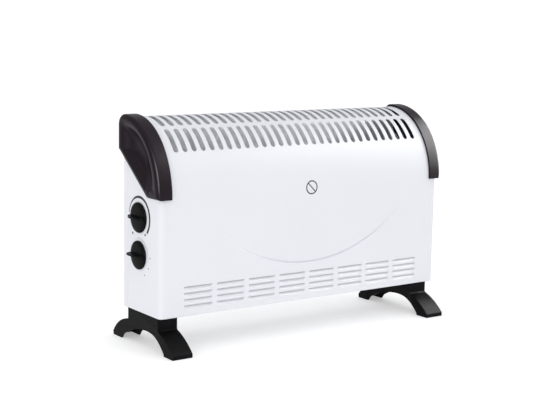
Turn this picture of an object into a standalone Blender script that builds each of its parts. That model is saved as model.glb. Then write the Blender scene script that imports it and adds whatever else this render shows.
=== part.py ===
"""Fan convector heater: a pressed-steel case on two feet, with an element and a fan inside.

Metres, +Z up, front towards -Y, controls on the -X side.  Every shape is worked out in the
case's own frame (x = 0 and y = 0 at the middle of the case, z = 0 on the floor) and moved by
CASE_SHIFT, so that the origin is under the middle of the whole object.
"""
import math

import bmesh
import bpy
from mathutils import Vector

MM = 0.001

# Case
CASE_HALF_W = 296 * MM
CASE_HALF_D = 61 * MM
CASE_BOTTOM = 60 * MM
SHEET = 1.2 * MM
GAP = 0.3 * MM
CORNER_R = 9 * MM

# Section of the curved top: a quarter ellipse from the front plane up to the crown
CROWN_Y = 53 * MM
CROWN_A = CROWN_Y + CASE_HALF_D
SPRING_Z = 256 * MM
CROWN_B = 124 * MM
CROWN_Z = SPRING_Z + CROWN_B
REAR_BEND_R = CASE_HALF_D - CROWN_Y
REAR_LIP_Z = 362 * MM
SHOULDER_Z = 262 * MM

# Outlet slots in the top
SLOT_PITCH = 17.5 * MM
SLOTS_PER_ROW = 30
SLOT_HALF_W = 4.8 * MM
SLOT_CUT = 1.5 * MM
SLOT_ROWS_DEG = ((35.5, 59.5), (63.5, 89.0))

# Louvres pressed into the front
LOUVRE_GROUPS = 8
LOUVRE_PITCH = 63.7 * MM
LOUVRE_HALF_W = 27.5 * MM
LOUVRE_TOP_Z = 110 * MM
LOUVRE_ROW_PITCH = 10.4 * MM
LOUVRE_ROWS = 4
LOUVRE_HEIGHT = 6.5 * MM
LOUVRE_DEPTH = 4 * MM
LOUVRE_END = 3 * MM

# Rear panel
REAR_Y = CASE_HALF_D - SHEET - GAP
SEAM_Y = 44 * MM
SEAM_GAP = 0.6 * MM
REAR_CORNER_R = 3 * MM
REAR_TOP_Z = 371 * MM
INLET_HALF_W = 25 * MM
INLET_HALF_H = 2.5 * MM
INLET_PITCH_X = 62 * MM
INLET_PITCH_Z = 10 * MM

# End caps
CAP_PROUD = 6.5 * MM
CAP_LIP_X = 276 * MM
CAP_OFFSET = 4.5 * MM
CAP_LIP_T = 3.8 * MM
LIP_STEP = CAP_LIP_T + 0.8 * MM
CAP_FRONT_Y = -CASE_HALF_D - CAP_OFFSET
CAP_BOTTOM = 255 * MM
CAP_BACK_Y = 70 * MM
CAP_BACK_R = 18 * MM
CAP_BACK_LOW = 326 * MM
CAP_FOOT_Y = -24 * MM
CAP_WALL = 2.6 * MM
GRIP_Y = 15 * MM
GRIP_Z = 322 * MM
CAP_SCREW_Y = -35.3 * MM
CAP_SCREW_Z = 264.4 * MM

# Feet
FOOT_W = 37 * MM
FOOT_INNER_X = 254 * MM
FOOT_FRONT = 95 * MM
FOOT_REAR = 105.5 * MM
FOOT_SEAT_Z = 40 * MM
FOOT_WALL = 3 * MM

# Controls on the left side
KNOB_Y = 6.2 * MM
THERMOSTAT_Z = 218.5 * MM
SELECTOR_Z = 156 * MM
THERMOSTAT_R = 25.2 * MM
SELECTOR_R = 23.8 * MM
KNOB_REACH = 16 * MM
THERMOSTAT_TAIL_H = 8 * MM
SELECTOR_TAIL_H = 11 * MM
SHAFT_R = 3 * MM

# Fan, axis vertical through the middle of the case
FAN_X = -60 * MM
FAN_PLATE_Z = 96 * MM
FAN_HOLE_R = 47 * MM
IMPELLER_R = 43 * MM
IMPELLER_Z = 78 * MM
IMPELLER_H = 15 * MM
MOTOR_Z = 112 * MM
MOTOR_H = 14 * MM

# Heating element
RAIL_X = 228 * MM
RAIL_Y = 34 * MM
RAIL_Z = 170 * MM
RAIL_H = 34 * MM
ELEMENT_R = 2.5 * MM
WIRE_R = 1.3 * MM

# Screws: head radius, head height, shank radius, shank length
FOOT_SCREW = (4.5 * MM, 3 * MM, 1.9 * MM, 26 * MM)
CAP_SCREW = (3.2 * MM, 2 * MM, 1.6 * MM, 10 * MM)
REAR_SCREW = (3.5 * MM, 2 * MM, 1.6 * MM, 9 * MM)
REAR_SCREW_X = 215 * MM

# Supply terminals and cord gland
SUPPLY_X = -250 * MM
GLAND_Z = 84 * MM
GLAND_R = 8.5 * MM
GLAND_BORE_R = 3.6 * MM

CASE_SHIFT = Vector((
    (KNOB_REACH - CAP_PROUD) / 2,
    (FOOT_FRONT - FOOT_REAR) / 2,
    0.0,
))

LEFT = -1
RIGHT = 1


# ---------------------------------------------------------------- scene and materials

def clear_scene():
    for obj in list(bpy.data.objects):
        bpy.data.objects.remove(obj, do_unlink=True)


def material(name, colour, roughness, metallic=0.0):
    mat = bpy.data.materials.new(name)
    mat.use_nodes = True
    shader = mat.node_tree.nodes["Principled BSDF"]
    shader.inputs["Base Color"].default_value = (*colour, 1.0)
    shader.inputs["Roughness"].default_value = roughness
    shader.inputs["Metallic"].default_value = metallic
    mat.diffuse_color = (*colour, 1.0)
    return mat


def make_materials():
    return {
        "white_enamel": material("white_enamel", (0.83, 0.85, 0.88), 0.35),
        "plum_plastic": material("plum_plastic", (0.030, 0.027, 0.032), 0.42),
        "black_plastic": material("black_plastic", (0.015, 0.015, 0.016), 0.45),
        "galvanised": material("galvanised", (0.55, 0.56, 0.58), 0.40, 1.0),
        "zinc_screw": material("zinc_screw", (0.60, 0.60, 0.62), 0.35, 1.0),
        "steel_shaft": material("steel_shaft", (0.58, 0.58, 0.60), 0.25, 1.0),
        "resistance_wire": material("resistance_wire", (0.42, 0.38, 0.36), 0.45, 1.0),
        "mica_board": material("mica_board", (0.62, 0.52, 0.38), 0.6),
        "ceramic": material("ceramic", (0.86, 0.83, 0.76), 0.35),
        "copper_coil": material("copper_coil", (0.62, 0.27, 0.12), 0.35, 1.0),
        "grey_nylon": material("grey_nylon", (0.34, 0.35, 0.36), 0.5),
        "wire_jacket": material("wire_jacket", (0.70, 0.66, 0.58), 0.5),
    }


def place(name, bm, mat, at=(0, 0, 0), parent=None):
    """Turn a bmesh built in the case frame into an object with its origin at the point at."""
    origin = Vector(at)
    bmesh.ops.translate(bm, verts=bm.verts, vec=-origin)
    bmesh.ops.recalc_face_normals(bm, faces=bm.faces)
    mesh = bpy.data.meshes.new(name)
    bm.to_mesh(mesh)
    bm.free()
    mesh.materials.append(mat)
    obj = bpy.data.objects.new(name, mesh)
    bpy.context.scene.collection.objects.link(obj)
    world = origin + CASE_SHIFT
    if parent:
        obj.parent = parent
        world = world - parent.matrix_world.translation
    obj.location = world
    bpy.context.view_layer.update()
    return obj


# ---------------------------------------------------------------- shape helpers

def loft(loops, ring=False):
    """Skin equal-length loops in order; cap both ends, or join the last to the first."""
    bm = bmesh.new()
    rows = [[bm.verts.new(p) for p in loop] for loop in loops]
    count = len(rows[0])
    pairs = list(zip(rows, rows[1:]))
    if ring:
        pairs.append((rows[-1], rows[0]))
    for low, high in pairs:
        for i in range(count):
            j = (i + 1) % count
            bm.faces.new((low[i], low[j], high[j], high[i]))
    if not ring:
        bm.faces.new(rows[0])
        bm.faces.new(rows[-1])
    bmesh.ops.remove_doubles(bm, verts=bm.verts, dist=1e-6)
    return bm


def along(axis, u, v, w):
    """A point whose coordinate on the named axis is w and whose other two are u and v."""
    return {"X": (w, u, v), "Y": (u, w, v), "Z": (u, v, w)}[axis]


def prism(outline, axis, start, end):
    return loft([[along(axis, u, v, w) for u, v in outline] for w in (start, end)])


def box(low, high):
    corners = [(low[0], low[1]), (high[0], low[1]), (high[0], high[1]), (low[0], high[1])]
    return prism(corners, "Z", low[2], high[2])


def circle(centre, radius, count):
    step = 2 * math.pi / count
    return [
        (centre[0] + radius * math.cos(i * step), centre[1] + radius * math.sin(i * step))
        for i in range(count)
    ]


def turned(profile, axis, centre, count, ring=False):
    """A turned solid: profile is (radius, position along the axis) pairs."""
    loops = []
    for radius, w in profile:
        loops.append([along(axis, u, v, w) for u, v in circle(centre, radius, count)])
    return loft(loops, ring)


def plate_with_hole(half_x, half_y, centre, radius, z_low, z_high, count):
    """A rectangular plate with a round hole, as rings of equal vertex count."""
    hole = circle(centre, radius, count)
    rim = []
    for u, v in hole:
        du, dv = u - centre[0], v - centre[1]
        scale = min(half_x / abs(du) if abs(du) > 1e-9 else 1e9,
                    half_y / abs(dv) if abs(dv) > 1e-9 else 1e9)
        rim.append((centre[0] + du * scale, centre[1] + dv * scale))
    loops = [(hole, z_low), (rim, z_low), (rim, z_high), (hole, z_high)]
    return loft([[(u, v, z) for u, v in loop] for loop, z in loops], ring=True)


def swept_tube(points, radius, sides):
    """A round rod along a list of points, mitred at the bends."""
    path = [Vector(p) for p in points]
    loops = []
    side = None
    for i, point in enumerate(path):
        before = (point - path[i - 1]).normalized() if i else None
        after = (path[i + 1] - point).normalized() if i + 1 < len(path) else None
        tangent = ((before or after) + (after or before)).normalized()
        if side is None:
            side = tangent.orthogonal().normalized()
        side = (side - tangent * side.dot(tangent)).normalized()
        other = tangent.cross(side)
        loops.append([point + side * (radius * math.cos(a)) + other * (radius * math.sin(a))
                      for a in (2 * math.pi * k / sides for k in range(sides))])
    return loft(loops)


class Sheet:
    """Sheet metal: outer faces are listed, and the inside skin and cut edges follow."""

    def __init__(self, thickness):
        self.thickness = thickness
        self.points = []
        self.faces = []

    def point(self, outer, inward):
        """Add a point on the outer skin; inward is the direction through the sheet."""
        self.points.append((Vector(outer), Vector(inward).normalized() * self.thickness))
        return len(self.points) - 1

    def face(self, ids):
        self.faces.append(list(ids))

    def to_bmesh(self):
        bm = bmesh.new()
        outer = [bm.verts.new(p) for p, _ in self.points]
        inner = [bm.verts.new(p + n) for p, n in self.points]
        edges = {}
        for ids in self.faces:
            bm.faces.new([outer[i] for i in ids])
            bm.faces.new([inner[i] for i in reversed(ids)])
            for a, b in zip(ids, ids[1:] + ids[:1]):
                edges[(a, b)] = True
        for a, b in edges:
            if (b, a) not in edges:
                bm.faces.new((outer[b], outer[a], inner[a], inner[b]))
        return bm


class Row:
    """One line of a ruled sheet, parallel to X: where it is, and the points along it."""

    def __init__(self, sheet, y, z, inward, xs):
        self.sheet = sheet
        self.y = y
        self.z = z
        self.inward = inward
        self.ids = {}
        for x in xs:
            self.ids[round(x, 7)] = sheet.point((x, y, z), inward)

    def between(self, start, end):
        """Ids of the points from start to end, both included."""
        slack = 1e-6
        return [self.ids[x] for x in sorted(self.ids) if start - slack <= x <= end + slack]


def fill_band(sheet, low, high, low_holes, high_holes, half_w):
    """Faces between two rows, leaving out openings given as (start, end) on each row."""
    low_edges = [-half_w] + [x for hole in low_holes for x in hole] + [half_w]
    high_edges = [-half_w] + [x for hole in high_holes for x in hole] + [half_w]
    for i in range(0, len(low_edges), 2):
        bottom = low.between(low_edges[i], low_edges[i + 1])
        top = high.between(high_edges[i], high_edges[i + 1])
        sheet.face(bottom + top[::-1])


def spans(centres, half_w):
    """(start, end) of an opening of half width half_w at each centre."""
    return [(c - half_w, c + half_w) for c in centres]


def flat(pairs):
    return [x for pair in pairs for x in pair]


def row_of(count, pitch):
    """Centres of count things at an even pitch, centred on zero."""
    return [(i - (count - 1) / 2) * pitch for i in range(count)]


# ---------------------------------------------------------------- case sheets

def crown_point(degrees):
    """Outer point and inward direction of the curved top, by ellipse angle."""
    a = math.radians(degrees)
    y = CROWN_Y - CROWN_A * math.cos(a)
    z = SPRING_Z + CROWN_B * math.sin(a)
    inward = (0, CROWN_B * math.cos(a), -CROWN_A * math.sin(a))
    return y, z, inward


def louvre_rows():
    """Lower and upper edge heights of the four louvre rows, lowest first."""
    rows = []
    for i in reversed(range(LOUVRE_ROWS)):
        top = LOUVRE_TOP_Z - i * LOUVRE_ROW_PITCH
        rows.append((top - LOUVRE_HEIGHT, top))
    return rows


def press_louvre(sheet, low, high, centre):
    """Pressed-in tongue under one louvre gap, joined to the sheet below and at both ends."""
    left_low, right_low = low.between(*spans([centre], LOUVRE_HALF_W - LOUVRE_END)[0])
    left_top, right_top = high.between(*spans([centre], LOUVRE_HALF_W)[0])
    slope = (0, LOUVRE_HEIGHT, -LOUVRE_DEPTH)
    lip = []
    for side in (-1, 1):
        x = centre + side * (LOUVRE_HALF_W - LOUVRE_END)
        lip.append(sheet.point((x, high.y + LOUVRE_DEPTH, high.z), slope))
    sheet.face((left_low, right_low, lip[1], lip[0]))
    sheet.face((left_low, lip[0], left_top))
    sheet.face((right_low, right_top, lip[1]))


def front_panel_rows(sheet, half_w):
    """All rows of the front panel from the bottom edge to the rear lip, with their openings."""
    face_in = (0, 1, 0)
    ends = [-half_w, half_w]
    centres = row_of(LOUVRE_GROUPS, LOUVRE_PITCH)
    narrow = spans(centres, LOUVRE_HALF_W - LOUVRE_END)
    wide = spans(centres, LOUVRE_HALF_W)
    rows = [(Row(sheet, -CASE_HALF_D, CASE_BOTTOM, face_in, ends), [], False)]
    for low_z, high_z in louvre_rows():
        low = Row(sheet, -CASE_HALF_D, low_z, face_in, ends + flat(narrow))
        high = Row(sheet, -CASE_HALF_D, high_z, face_in, ends + flat(wide))
        for centre in centres:
            press_louvre(sheet, low, high, centre)
        rows.append((low, narrow, True))
        rows.append((high, wide, False))
    rows.append((Row(sheet, -CASE_HALF_D, SPRING_Z, face_in, ends), [], False))

    shoulder_deg = math.degrees(math.asin((SHOULDER_Z - SPRING_Z) / CROWN_B))
    for degrees in (shoulder_deg, 10.0, 18.5, 27.0):
        rows.append((Row(sheet, *crown_point(degrees), ends), [], False))
    slot_centres = row_of(SLOTS_PER_ROW, SLOT_PITCH)
    tight = spans(slot_centres, SLOT_HALF_W - SLOT_CUT)
    full = spans(slot_centres, SLOT_HALF_W)
    for start, end in SLOT_ROWS_DEG:
        cut_deg = math.degrees(SLOT_CUT / CROWN_A)
        third = (end - start) / 3
        stops = [(start, tight), (start + cut_deg, full), (start + third, full),
                 (end - third, full), (end - cut_deg, full), (end, tight)]
        for degrees, holes in stops:
            row = Row(sheet, *crown_point(degrees), ends + flat(holes))
            rows.append((row, holes, degrees < end))
    for degrees in (0, 30, 60, 90):
        a = math.radians(degrees)
        y = CROWN_Y + REAR_BEND_R * math.sin(a)
        z = CROWN_Z - REAR_BEND_R * (1 - math.cos(a))
        rows.append((Row(sheet, y, z, (0, -math.sin(a), -math.cos(a)), ends), [], False))
    rows.append((Row(sheet, CASE_HALF_D, REAR_LIP_Z, (0, -1, 0), ends), [], False))
    return rows


def add_side_wing(sheet, rows, side, half_w):
    """Round corner and side wing, hung on the end points of the rows below the shoulder."""
    edge = [row.ids[round(side * half_w, 7)] for row, _, _ in rows if row.z <= SHOULDER_Z + 1e-6]
    steps = 4
    columns = []
    for i in range(1, steps + 1):
        a = math.radians(90 * i / steps)
        x = side * (half_w + CORNER_R * math.sin(a))
        y = -CASE_HALF_D + CORNER_R * (1 - math.cos(a))
        inward = (-side * math.sin(a), math.cos(a), 0)
        columns.append([sheet.point((x, y, z), inward) for z in (CASE_BOTTOM, SHOULDER_Z)])
    quads = [edge + columns[0][::-1]]
    for left, right in zip(columns, columns[1:]):
        quads.append([left[0], left[1], right[1], right[0]])
    wing = [(-46, 274), (-28, 274), (-20, 265), (SEAM_Y / MM, 313), (SEAM_Y / MM, CASE_BOTTOM / MM)]
    outline = [columns[-1][0], columns[-1][1]]
    for y, z in wing:
        outline.append(sheet.point((side * CASE_HALF_W, y * MM, z * MM), (-side, 0, 0)))
    quads.append(outline)
    for ids in quads:
        sheet.face(ids[::-1] if side == RIGHT else ids)


def fill_rows(sheet, rows, half_w):
    """Faces for every band of a list of (row, holes, open above)."""
    for (low, low_holes, is_open), (high, high_holes, _) in zip(rows, rows[1:]):
        if not is_open:
            low_holes, high_holes = [], []
        fill_band(sheet, low, high, low_holes, high_holes, half_w)


def front_panel(mats):
    sheet = Sheet(SHEET)
    half_w = CASE_HALF_W - CORNER_R
    rows = front_panel_rows(sheet, half_w)
    fill_rows(sheet, rows, half_w)
    for side in (LEFT, RIGHT):
        add_side_wing(sheet, rows, side, half_w)
    return place("front_panel", sheet.to_bmesh(), mats["white_enamel"])


def slot_block(sheet, first, last, cross, inward, centres, half_w, half_h, ends):
    """Rows for a block of round-cornered slots; cross gives (y, z) for a distance along it."""
    cut = min(half_h * 0.6, half_w * 0.6)
    tight = spans(centres, half_w - cut)
    full = spans(centres, half_w)
    rows = []
    pitch = INLET_PITCH_Z
    count = int(round((last - first) / pitch)) + 1
    for i in range(count):
        middle = first + i * pitch
        stops = [(middle - half_h, tight, True), (middle - half_h + cut, full, True),
                 (middle + half_h - cut, full, True), (middle + half_h, tight, False)]
        for distance, holes, is_open in stops:
            row = Row(sheet, *cross(distance), inward, ends + flat(holes))
            rows.append((row, holes, is_open))
    return rows


def rear_panel(mats):
    """Flat back with two blocks of inlet slots, and a flange round each side."""
    sheet = Sheet(SHEET)
    half_w = CASE_HALF_W - REAR_CORNER_R
    ends = [-half_w, half_w]
    centres = row_of(6, INLET_PITCH_X)
    rows = [(Row(sheet, REAR_Y, CASE_BOTTOM, (0, -1, 0), ends), [], False)]
    for first, last in ((100 * MM, 140 * MM), (280 * MM, 310 * MM)):
        rows += slot_block(sheet, first, last, lambda z: (REAR_Y, z), (0, -1, 0),
                           centres, INLET_HALF_W, INLET_HALF_H, ends)
    shoulder_z = 328 * MM
    rows.append((Row(sheet, REAR_Y, shoulder_z, (0, -1, 0), ends), [], False))
    shoulder = rows[-1]
    fill_rows(sheet, rows, half_w)
    head_w = 270 * MM
    top = Row(sheet, REAR_Y, REAR_TOP_Z, (0, -1, 0), [-head_w, head_w])
    sheet.face(shoulder[0].between(-half_w, half_w) + top.between(-head_w, head_w)[::-1])
    for side in (LEFT, RIGHT):
        edge = [row.ids[round(side * half_w, 7)] for row, _, _ in rows]
        column = []
        for z in (CASE_BOTTOM, shoulder_z):
            column.append(sheet.point((side * CASE_HALF_W, REAR_Y - REAR_CORNER_R, z),
                                      (-side, -0.4, 0)))
        flange_y = SEAM_Y + SEAM_GAP
        flange = [sheet.point((side * CASE_HALF_W, flange_y, z), (-side, 0, 0))
                  for z in (CASE_BOTTOM, 315 * MM)]
        corner_face = edge + column[::-1]
        flange_face = [column[0], column[1], flange[1], flange[0]]
        for ids in (corner_face, flange_face):
            sheet.face(ids[::-1] if side == RIGHT else ids)
    for ids in sheet.faces:
        ids.reverse()
    return place("rear_panel", sheet.to_bmesh(), mats["white_enamel"])


def base_plate(mats):
    """Floor of the case: a tray with front and back flanges and an air grille."""
    sheet = Sheet(SHEET)
    half_w = CASE_HALF_W - SHEET - CORNER_R
    low_z = CASE_BOTTOM + 1 * MM
    front_y = -(CASE_HALF_D - SHEET - GAP)
    back_y = REAR_Y - SHEET - GAP
    flange_z = low_z + 10 * MM
    ends = [-half_w, half_w]
    centres = row_of(7, INLET_PITCH_X)
    rows = [(Row(sheet, front_y, flange_z, (0, 1, 0), ends), [], False),
            (Row(sheet, front_y, low_z, (0, 1, 1), ends), [], False)]
    rows += slot_block(sheet, -35 * MM, 35 * MM, lambda y: (y, low_z), (0, 0, 1),
                       centres, INLET_HALF_W, INLET_HALF_H, ends)
    rows += [(Row(sheet, back_y, low_z, (0, -1, 1), ends), [], False),
             (Row(sheet, back_y, flange_z, (0, -1, 0), ends), [], False)]
    fill_rows(sheet, rows, half_w)
    for ids in sheet.faces:
        ids.reverse()
    return place("base_plate", sheet.to_bmesh(), mats["galvanised"])


def bent_shield(name, mats, y, z_low, z_high, bend, half_w):
    """Flat heat shield whose top is bent over by bend."""
    sheet = Sheet(SHEET * 0.75)
    ends = [-half_w, half_w]
    lean = -1 if bend > 0 else 1
    rows = [(Row(sheet, y, z_low, (0, lean, 0), ends), [], False),
            (Row(sheet, y, z_high - abs(bend), (0, lean, 0), ends), [], False),
            (Row(sheet, y - bend, z_high, (0, lean, -1), ends), [], False)]
    fill_rows(sheet, rows, half_w)
    return place(name, sheet.to_bmesh(), mats["galvanised"])


# ---------------------------------------------------------------- end caps

def cap_slope(share):
    """A point on the sloping lower edge: 0 at the back of the cap, 1 at its foot."""
    return (CAP_BACK_Y + (CAP_FOOT_Y - CAP_BACK_Y) * share,
            CAP_BACK_LOW + (CAP_BOTTOM - CAP_BACK_LOW) * share)


def cap_outline():
    """Outside edge of an end cap as (y, z, lip): lip is True where it wraps over the sheet."""
    points = [(CAP_FRONT_Y, CAP_BOTTOM, True)]
    for degrees in (6, 14, 22, 30, 38, 46, 54, 62, 70, 78, 85):
        y, z, inward = crown_point(degrees)
        out = -Vector(inward).normalized() * CAP_OFFSET
        points.append((y + out.y, z + out.z, True))
    top = CROWN_Z + CAP_OFFSET
    centre_y = CAP_BACK_Y - CAP_BACK_R
    centre_z = top - CAP_BACK_R
    for degrees in (90, 68, 45, 22, 0):
        a = math.radians(degrees)
        points.append((centre_y + CAP_BACK_R * math.cos(a), centre_z + CAP_BACK_R * math.sin(a), True))
    points.append((CAP_BACK_Y, (centre_z + CAP_BACK_LOW) / 2, True))
    points.append((CAP_BACK_Y, CAP_BACK_LOW, True))
    for share in (LIP_STEP / (CAP_BACK_Y - CAP_FOOT_Y), 0.33, 0.66, 1.0):
        points.append((*cap_slope(share), False))
    points.append((CAP_FOOT_Y - 20 * MM, CAP_BOTTOM, False))
    points.append((CAP_FRONT_Y + LIP_STEP, CAP_BOTTOM, False))
    return points


def toward_grip(outline, share):
    """The outline shrunk towards the middle of the hand grip."""
    return [(GRIP_Y + (y - GRIP_Y) * share, GRIP_Z + (z - GRIP_Z) * share) for y, z in outline]


def inset(outline, distance):
    """The outline moved inwards by a distance, point by point."""
    count = len(outline)
    moved = []
    for i, (y, z) in enumerate(outline):
        before = outline[i - 1]
        after = outline[(i + 1) % count]
        in_a = Vector((before[1] - z, y - before[0])).normalized()
        in_b = Vector((z - after[1], after[0] - y)).normalized()
        middle = (in_a + in_b).normalized()
        reach = distance / max(middle.dot(in_a), 0.5)
        moved.append((y - middle.x * reach, z - middle.y * reach))
    return moved


def end_cap(name, side, mats):
    """Moulded end cap: a lip over the case, a side wall, and a scooped hand grip."""
    points = cap_outline()
    outer = [(y, z) for y, z, _ in points]
    inner = inset(outer, CAP_LIP_T)
    lip_edge = list(inner)
    lip_end = max(i for i, point in enumerate(points) if point[2])
    lip_edge[0] = (CAP_FRONT_Y + CAP_LIP_T, CAP_BOTTOM)
    lip_edge[lip_end] = cap_slope(CAP_LIP_T / (CAP_BACK_Y - CAP_FOOT_Y))
    wall_in = CASE_HALF_W + GAP
    wall_out = CASE_HALF_W + CAP_PROUD
    lip_x = [CAP_LIP_X if lip else wall_in for _, _, lip in points]
    flat_x = [wall_in + 2 * MM] * len(points)
    # (loop in y and z, x of each point), from the lip over the outside into the grip and back
    skin = [
        (lip_edge, lip_x),
        (outer, lip_x),
        (outer, flat_x),
        (inset(outer, 1.2 * MM), [wall_out - 1.5 * MM] * len(points)),
        (inset(outer, 3.5 * MM), [wall_out] * len(points)),
        (toward_grip(outer, 0.78), [wall_out - 0.5 * MM] * len(points)),
        (toward_grip(outer, 0.68), [wall_out - 3.5 * MM] * len(points)),
        (toward_grip(outer, 0.58), [wall_out - 9 * MM] * len(points)),
        (toward_grip(outer, 0.42), [wall_out - 13.5 * MM] * len(points)),
        (toward_grip(outer, 0.22), [wall_out - 15 * MM] * len(points)),
        (toward_grip(outer, 0.24), [wall_out - 15 * MM - CAP_WALL] * len(points)),
        (toward_grip(outer, 0.45), [wall_out - 13.5 * MM - CAP_WALL] * len(points)),
        (toward_grip(outer, 0.62), [wall_out - 9 * MM - CAP_WALL] * len(points)),
        (toward_grip(outer, 0.70), [wall_in] * len(points)),
        (inner, [wall_in] * len(points)),
    ]
    loops = [[(side * x, y, z) for (y, z), x in zip(loop, xs)] for loop, xs in skin]
    bm = bmesh.new()
    rows = [[bm.verts.new(p) for p in loop] for loop in loops]
    count = len(points)
    floor_row = 9
    for i, row in enumerate(rows):
        if i == floor_row:
            bm.faces.new(row)
            bm.faces.new(rows[i + 1])
            continue
        following = rows[(i + 1) % len(rows)]
        for j in range(count):
            k = (j + 1) % count
            bm.faces.new((row[j], row[k], following[k], following[j]))
    bmesh.ops.remove_doubles(bm, verts=bm.verts, dist=1e-6)
    bmesh.ops.triangulate(bm, faces=bm.faces)
    return place(name, bm, mats["plum_plastic"])


# ---------------------------------------------------------------- feet

def foot_outline():
    """Side view of a foot in (y, z): block, sloping toes and one long arch, in mm."""
    top = 59.7
    front = -FOOT_FRONT / MM
    rear = FOOT_REAR / MM
    outline = [(52.5, top), (-46, top), (-46, 37), (-62, 30), (-78, 19.5), (front + 1.5, 8),
               (front, 6.5), (front, 0), (-69, 0), (-68, 3.5), (-58, 10.5), (-48, 16.8),
               (-40, 21.5), (-31, 25), (-22, 26.5), (1, 26.6), (22, 24.5), (45.7, 18.5),
               (61, 11.7), (69, 7.8), (72.5, 5), (76, 0), (rear - 1.5, 0), (rear, 6), (100, 15),
               (90, 24), (78, 31), (65, 36), (52.5, 38.5)]
    return [(y * MM, z * MM) for y, z in outline]


def foot_pocket():
    """Side view of the hollow under a foot, open downwards, in mm."""
    floor = -1
    outline = [(-90.5, floor), (-90.5, 5.5), (-75.8, 16.3), (-60, 26.8), (-47, 32.8), (-40, 36),
               (48, 36), (64, 32.4), (76.5, 27.6), (87.8, 20.8), (96.8, 12.6), (101.5, 4.8),
               (101.5, floor)]
    return [(y * MM, z * MM) for y, z in outline]


def foot_screw_places(side):
    x = side * (FOOT_INNER_X + FOOT_W / 2)
    return [(x, y) for y in (-32 * MM, 27 * MM)]


def hidden_cutter(name, bm):
    """A tool for a Boolean, built in the case frame, that isn't part of the heater."""
    bmesh.ops.recalc_face_normals(bm, faces=bm.faces)
    mesh = bpy.data.meshes.new(name)
    bm.to_mesh(mesh)
    bm.free()
    cutter = bpy.data.objects.new(name, mesh)
    bpy.context.scene.collection.objects.link(cutter)
    cutter.location = CASE_SHIFT
    cutter.hide_render = True
    cutter.display_type = "WIRE"
    return cutter


def bore_cutter(name, places, axis, steps, count=12):
    """Hidden round cutters, one for each place; steps is a turned profile."""
    bm = bmesh.new()
    for place_uv in places:
        part = turned(steps, axis, place_uv, count)
        mesh = bpy.data.meshes.new("temporary")
        part.to_mesh(mesh)
        part.free()
        bm.from_mesh(mesh)
        bpy.data.meshes.remove(mesh)
    return hidden_cutter(name, bm)


def combine(obj, tool, operation):
    modifier = obj.modifiers.new(tool.name, "BOOLEAN")
    modifier.operation = operation
    modifier.solver = "EXACT"
    modifier.object = tool


def cut(obj, cutter):
    combine(obj, cutter, "DIFFERENCE")


def foot(name, side, mats):
    low, high = sorted((side * FOOT_INNER_X, side * (FOOT_INNER_X + FOOT_W)))
    obj = place(name, prism(foot_outline(), "X", low, high), mats["black_plastic"],
                (side * (FOOT_INNER_X + FOOT_W / 2), 0, 0))
    pocket = prism(foot_pocket(), "X", low + FOOT_WALL, high - FOOT_WALL)
    cut(obj, hidden_cutter(name + "_pocket", pocket))
    steps = [(5.5 * MM, -1 * MM), (5.5 * MM, FOOT_SEAT_Z), (2.4 * MM, FOOT_SEAT_Z), (2.4 * MM, 70 * MM)]
    cut(obj, bore_cutter(name + "_bores", foot_screw_places(side), "Z", steps))
    return obj


# ---------------------------------------------------------------- screws

def pan_screw(name, at, axis, direction, size, mats):
    """Pan-head screw whose head stands on the point at; direction is the way its head looks."""
    head_r, head_h, shank_r, shank_l = size
    u, v, w = {"X": (at[1], at[2], at[0]), "Y": (at[0], at[2], at[1]),
               "Z": (at[0], at[1], at[2])}[axis]
    profile = [(shank_r * 0.6, -shank_l), (shank_r, -shank_l + shank_r), (shank_r, 0), (head_r, 0),
               (head_r, head_h * 0.5), (head_r * 0.6, head_h)]
    steps = [(radius, w + direction * offset) for radius, offset in profile]
    return place(name, turned(steps, axis, (u, v), 10), mats["zinc_screw"], at)


def foot_screws(mats):
    number = 1
    for side in (LEFT, RIGHT):
        for x, y in foot_screw_places(side):
            pan_screw(f"foot_screw_{number}", (x, y, FOOT_SEAT_Z - GAP), "Z", -1, FOOT_SCREW, mats)
            number += 1


def cap_screws(left_cap, right_cap, panel, mats):
    for name, side, cap in (("cap_screw_left", LEFT, left_cap), ("cap_screw_right", RIGHT, right_cap)):
        seat = side * (CASE_HALF_W + CAP_PROUD - 2.3 * MM)
        pan_screw(name, (seat + side * 0.1 * MM, CAP_SCREW_Y, CAP_SCREW_Z), "X", side, CAP_SCREW, mats)
        inside = side * (CASE_HALF_W - 20 * MM)
        steps = [(2.0 * MM, inside), (2.0 * MM, seat), (3.8 * MM, seat), (3.8 * MM, seat + side * 10 * MM)]
        cutter = bore_cutter(name + "_bore", [(CAP_SCREW_Y, CAP_SCREW_Z)], "X", steps)
        cut(cap, cutter)
        cut(panel, cutter)


def rear_screws(rear, front, base, mats):
    low_z = CASE_BOTTOM + 8 * MM
    high_z = REAR_LIP_Z + 4.5 * MM
    heights = (("low", low_z, REAR_Y), ("high", high_z, CASE_HALF_D))
    for level, z, face_y in heights:
        places = []
        for i, x in enumerate((-REAR_SCREW_X, REAR_SCREW_X)):
            number = i + (1 if level == "low" else 3)
            pan_screw(f"rear_screw_{number}", (x, face_y + 0.1 * MM, z), "Y", 1, REAR_SCREW, mats)
            places.append((x, z))
        steps = [(2.0 * MM, 40 * MM), (2.0 * MM, 80 * MM)]
        cutter = bore_cutter(f"rear_screw_bores_{level}", places, "Y", steps)
        cut(rear, cutter)
        cut(base if level == "low" else front, cutter)


# ---------------------------------------------------------------- controls

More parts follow.
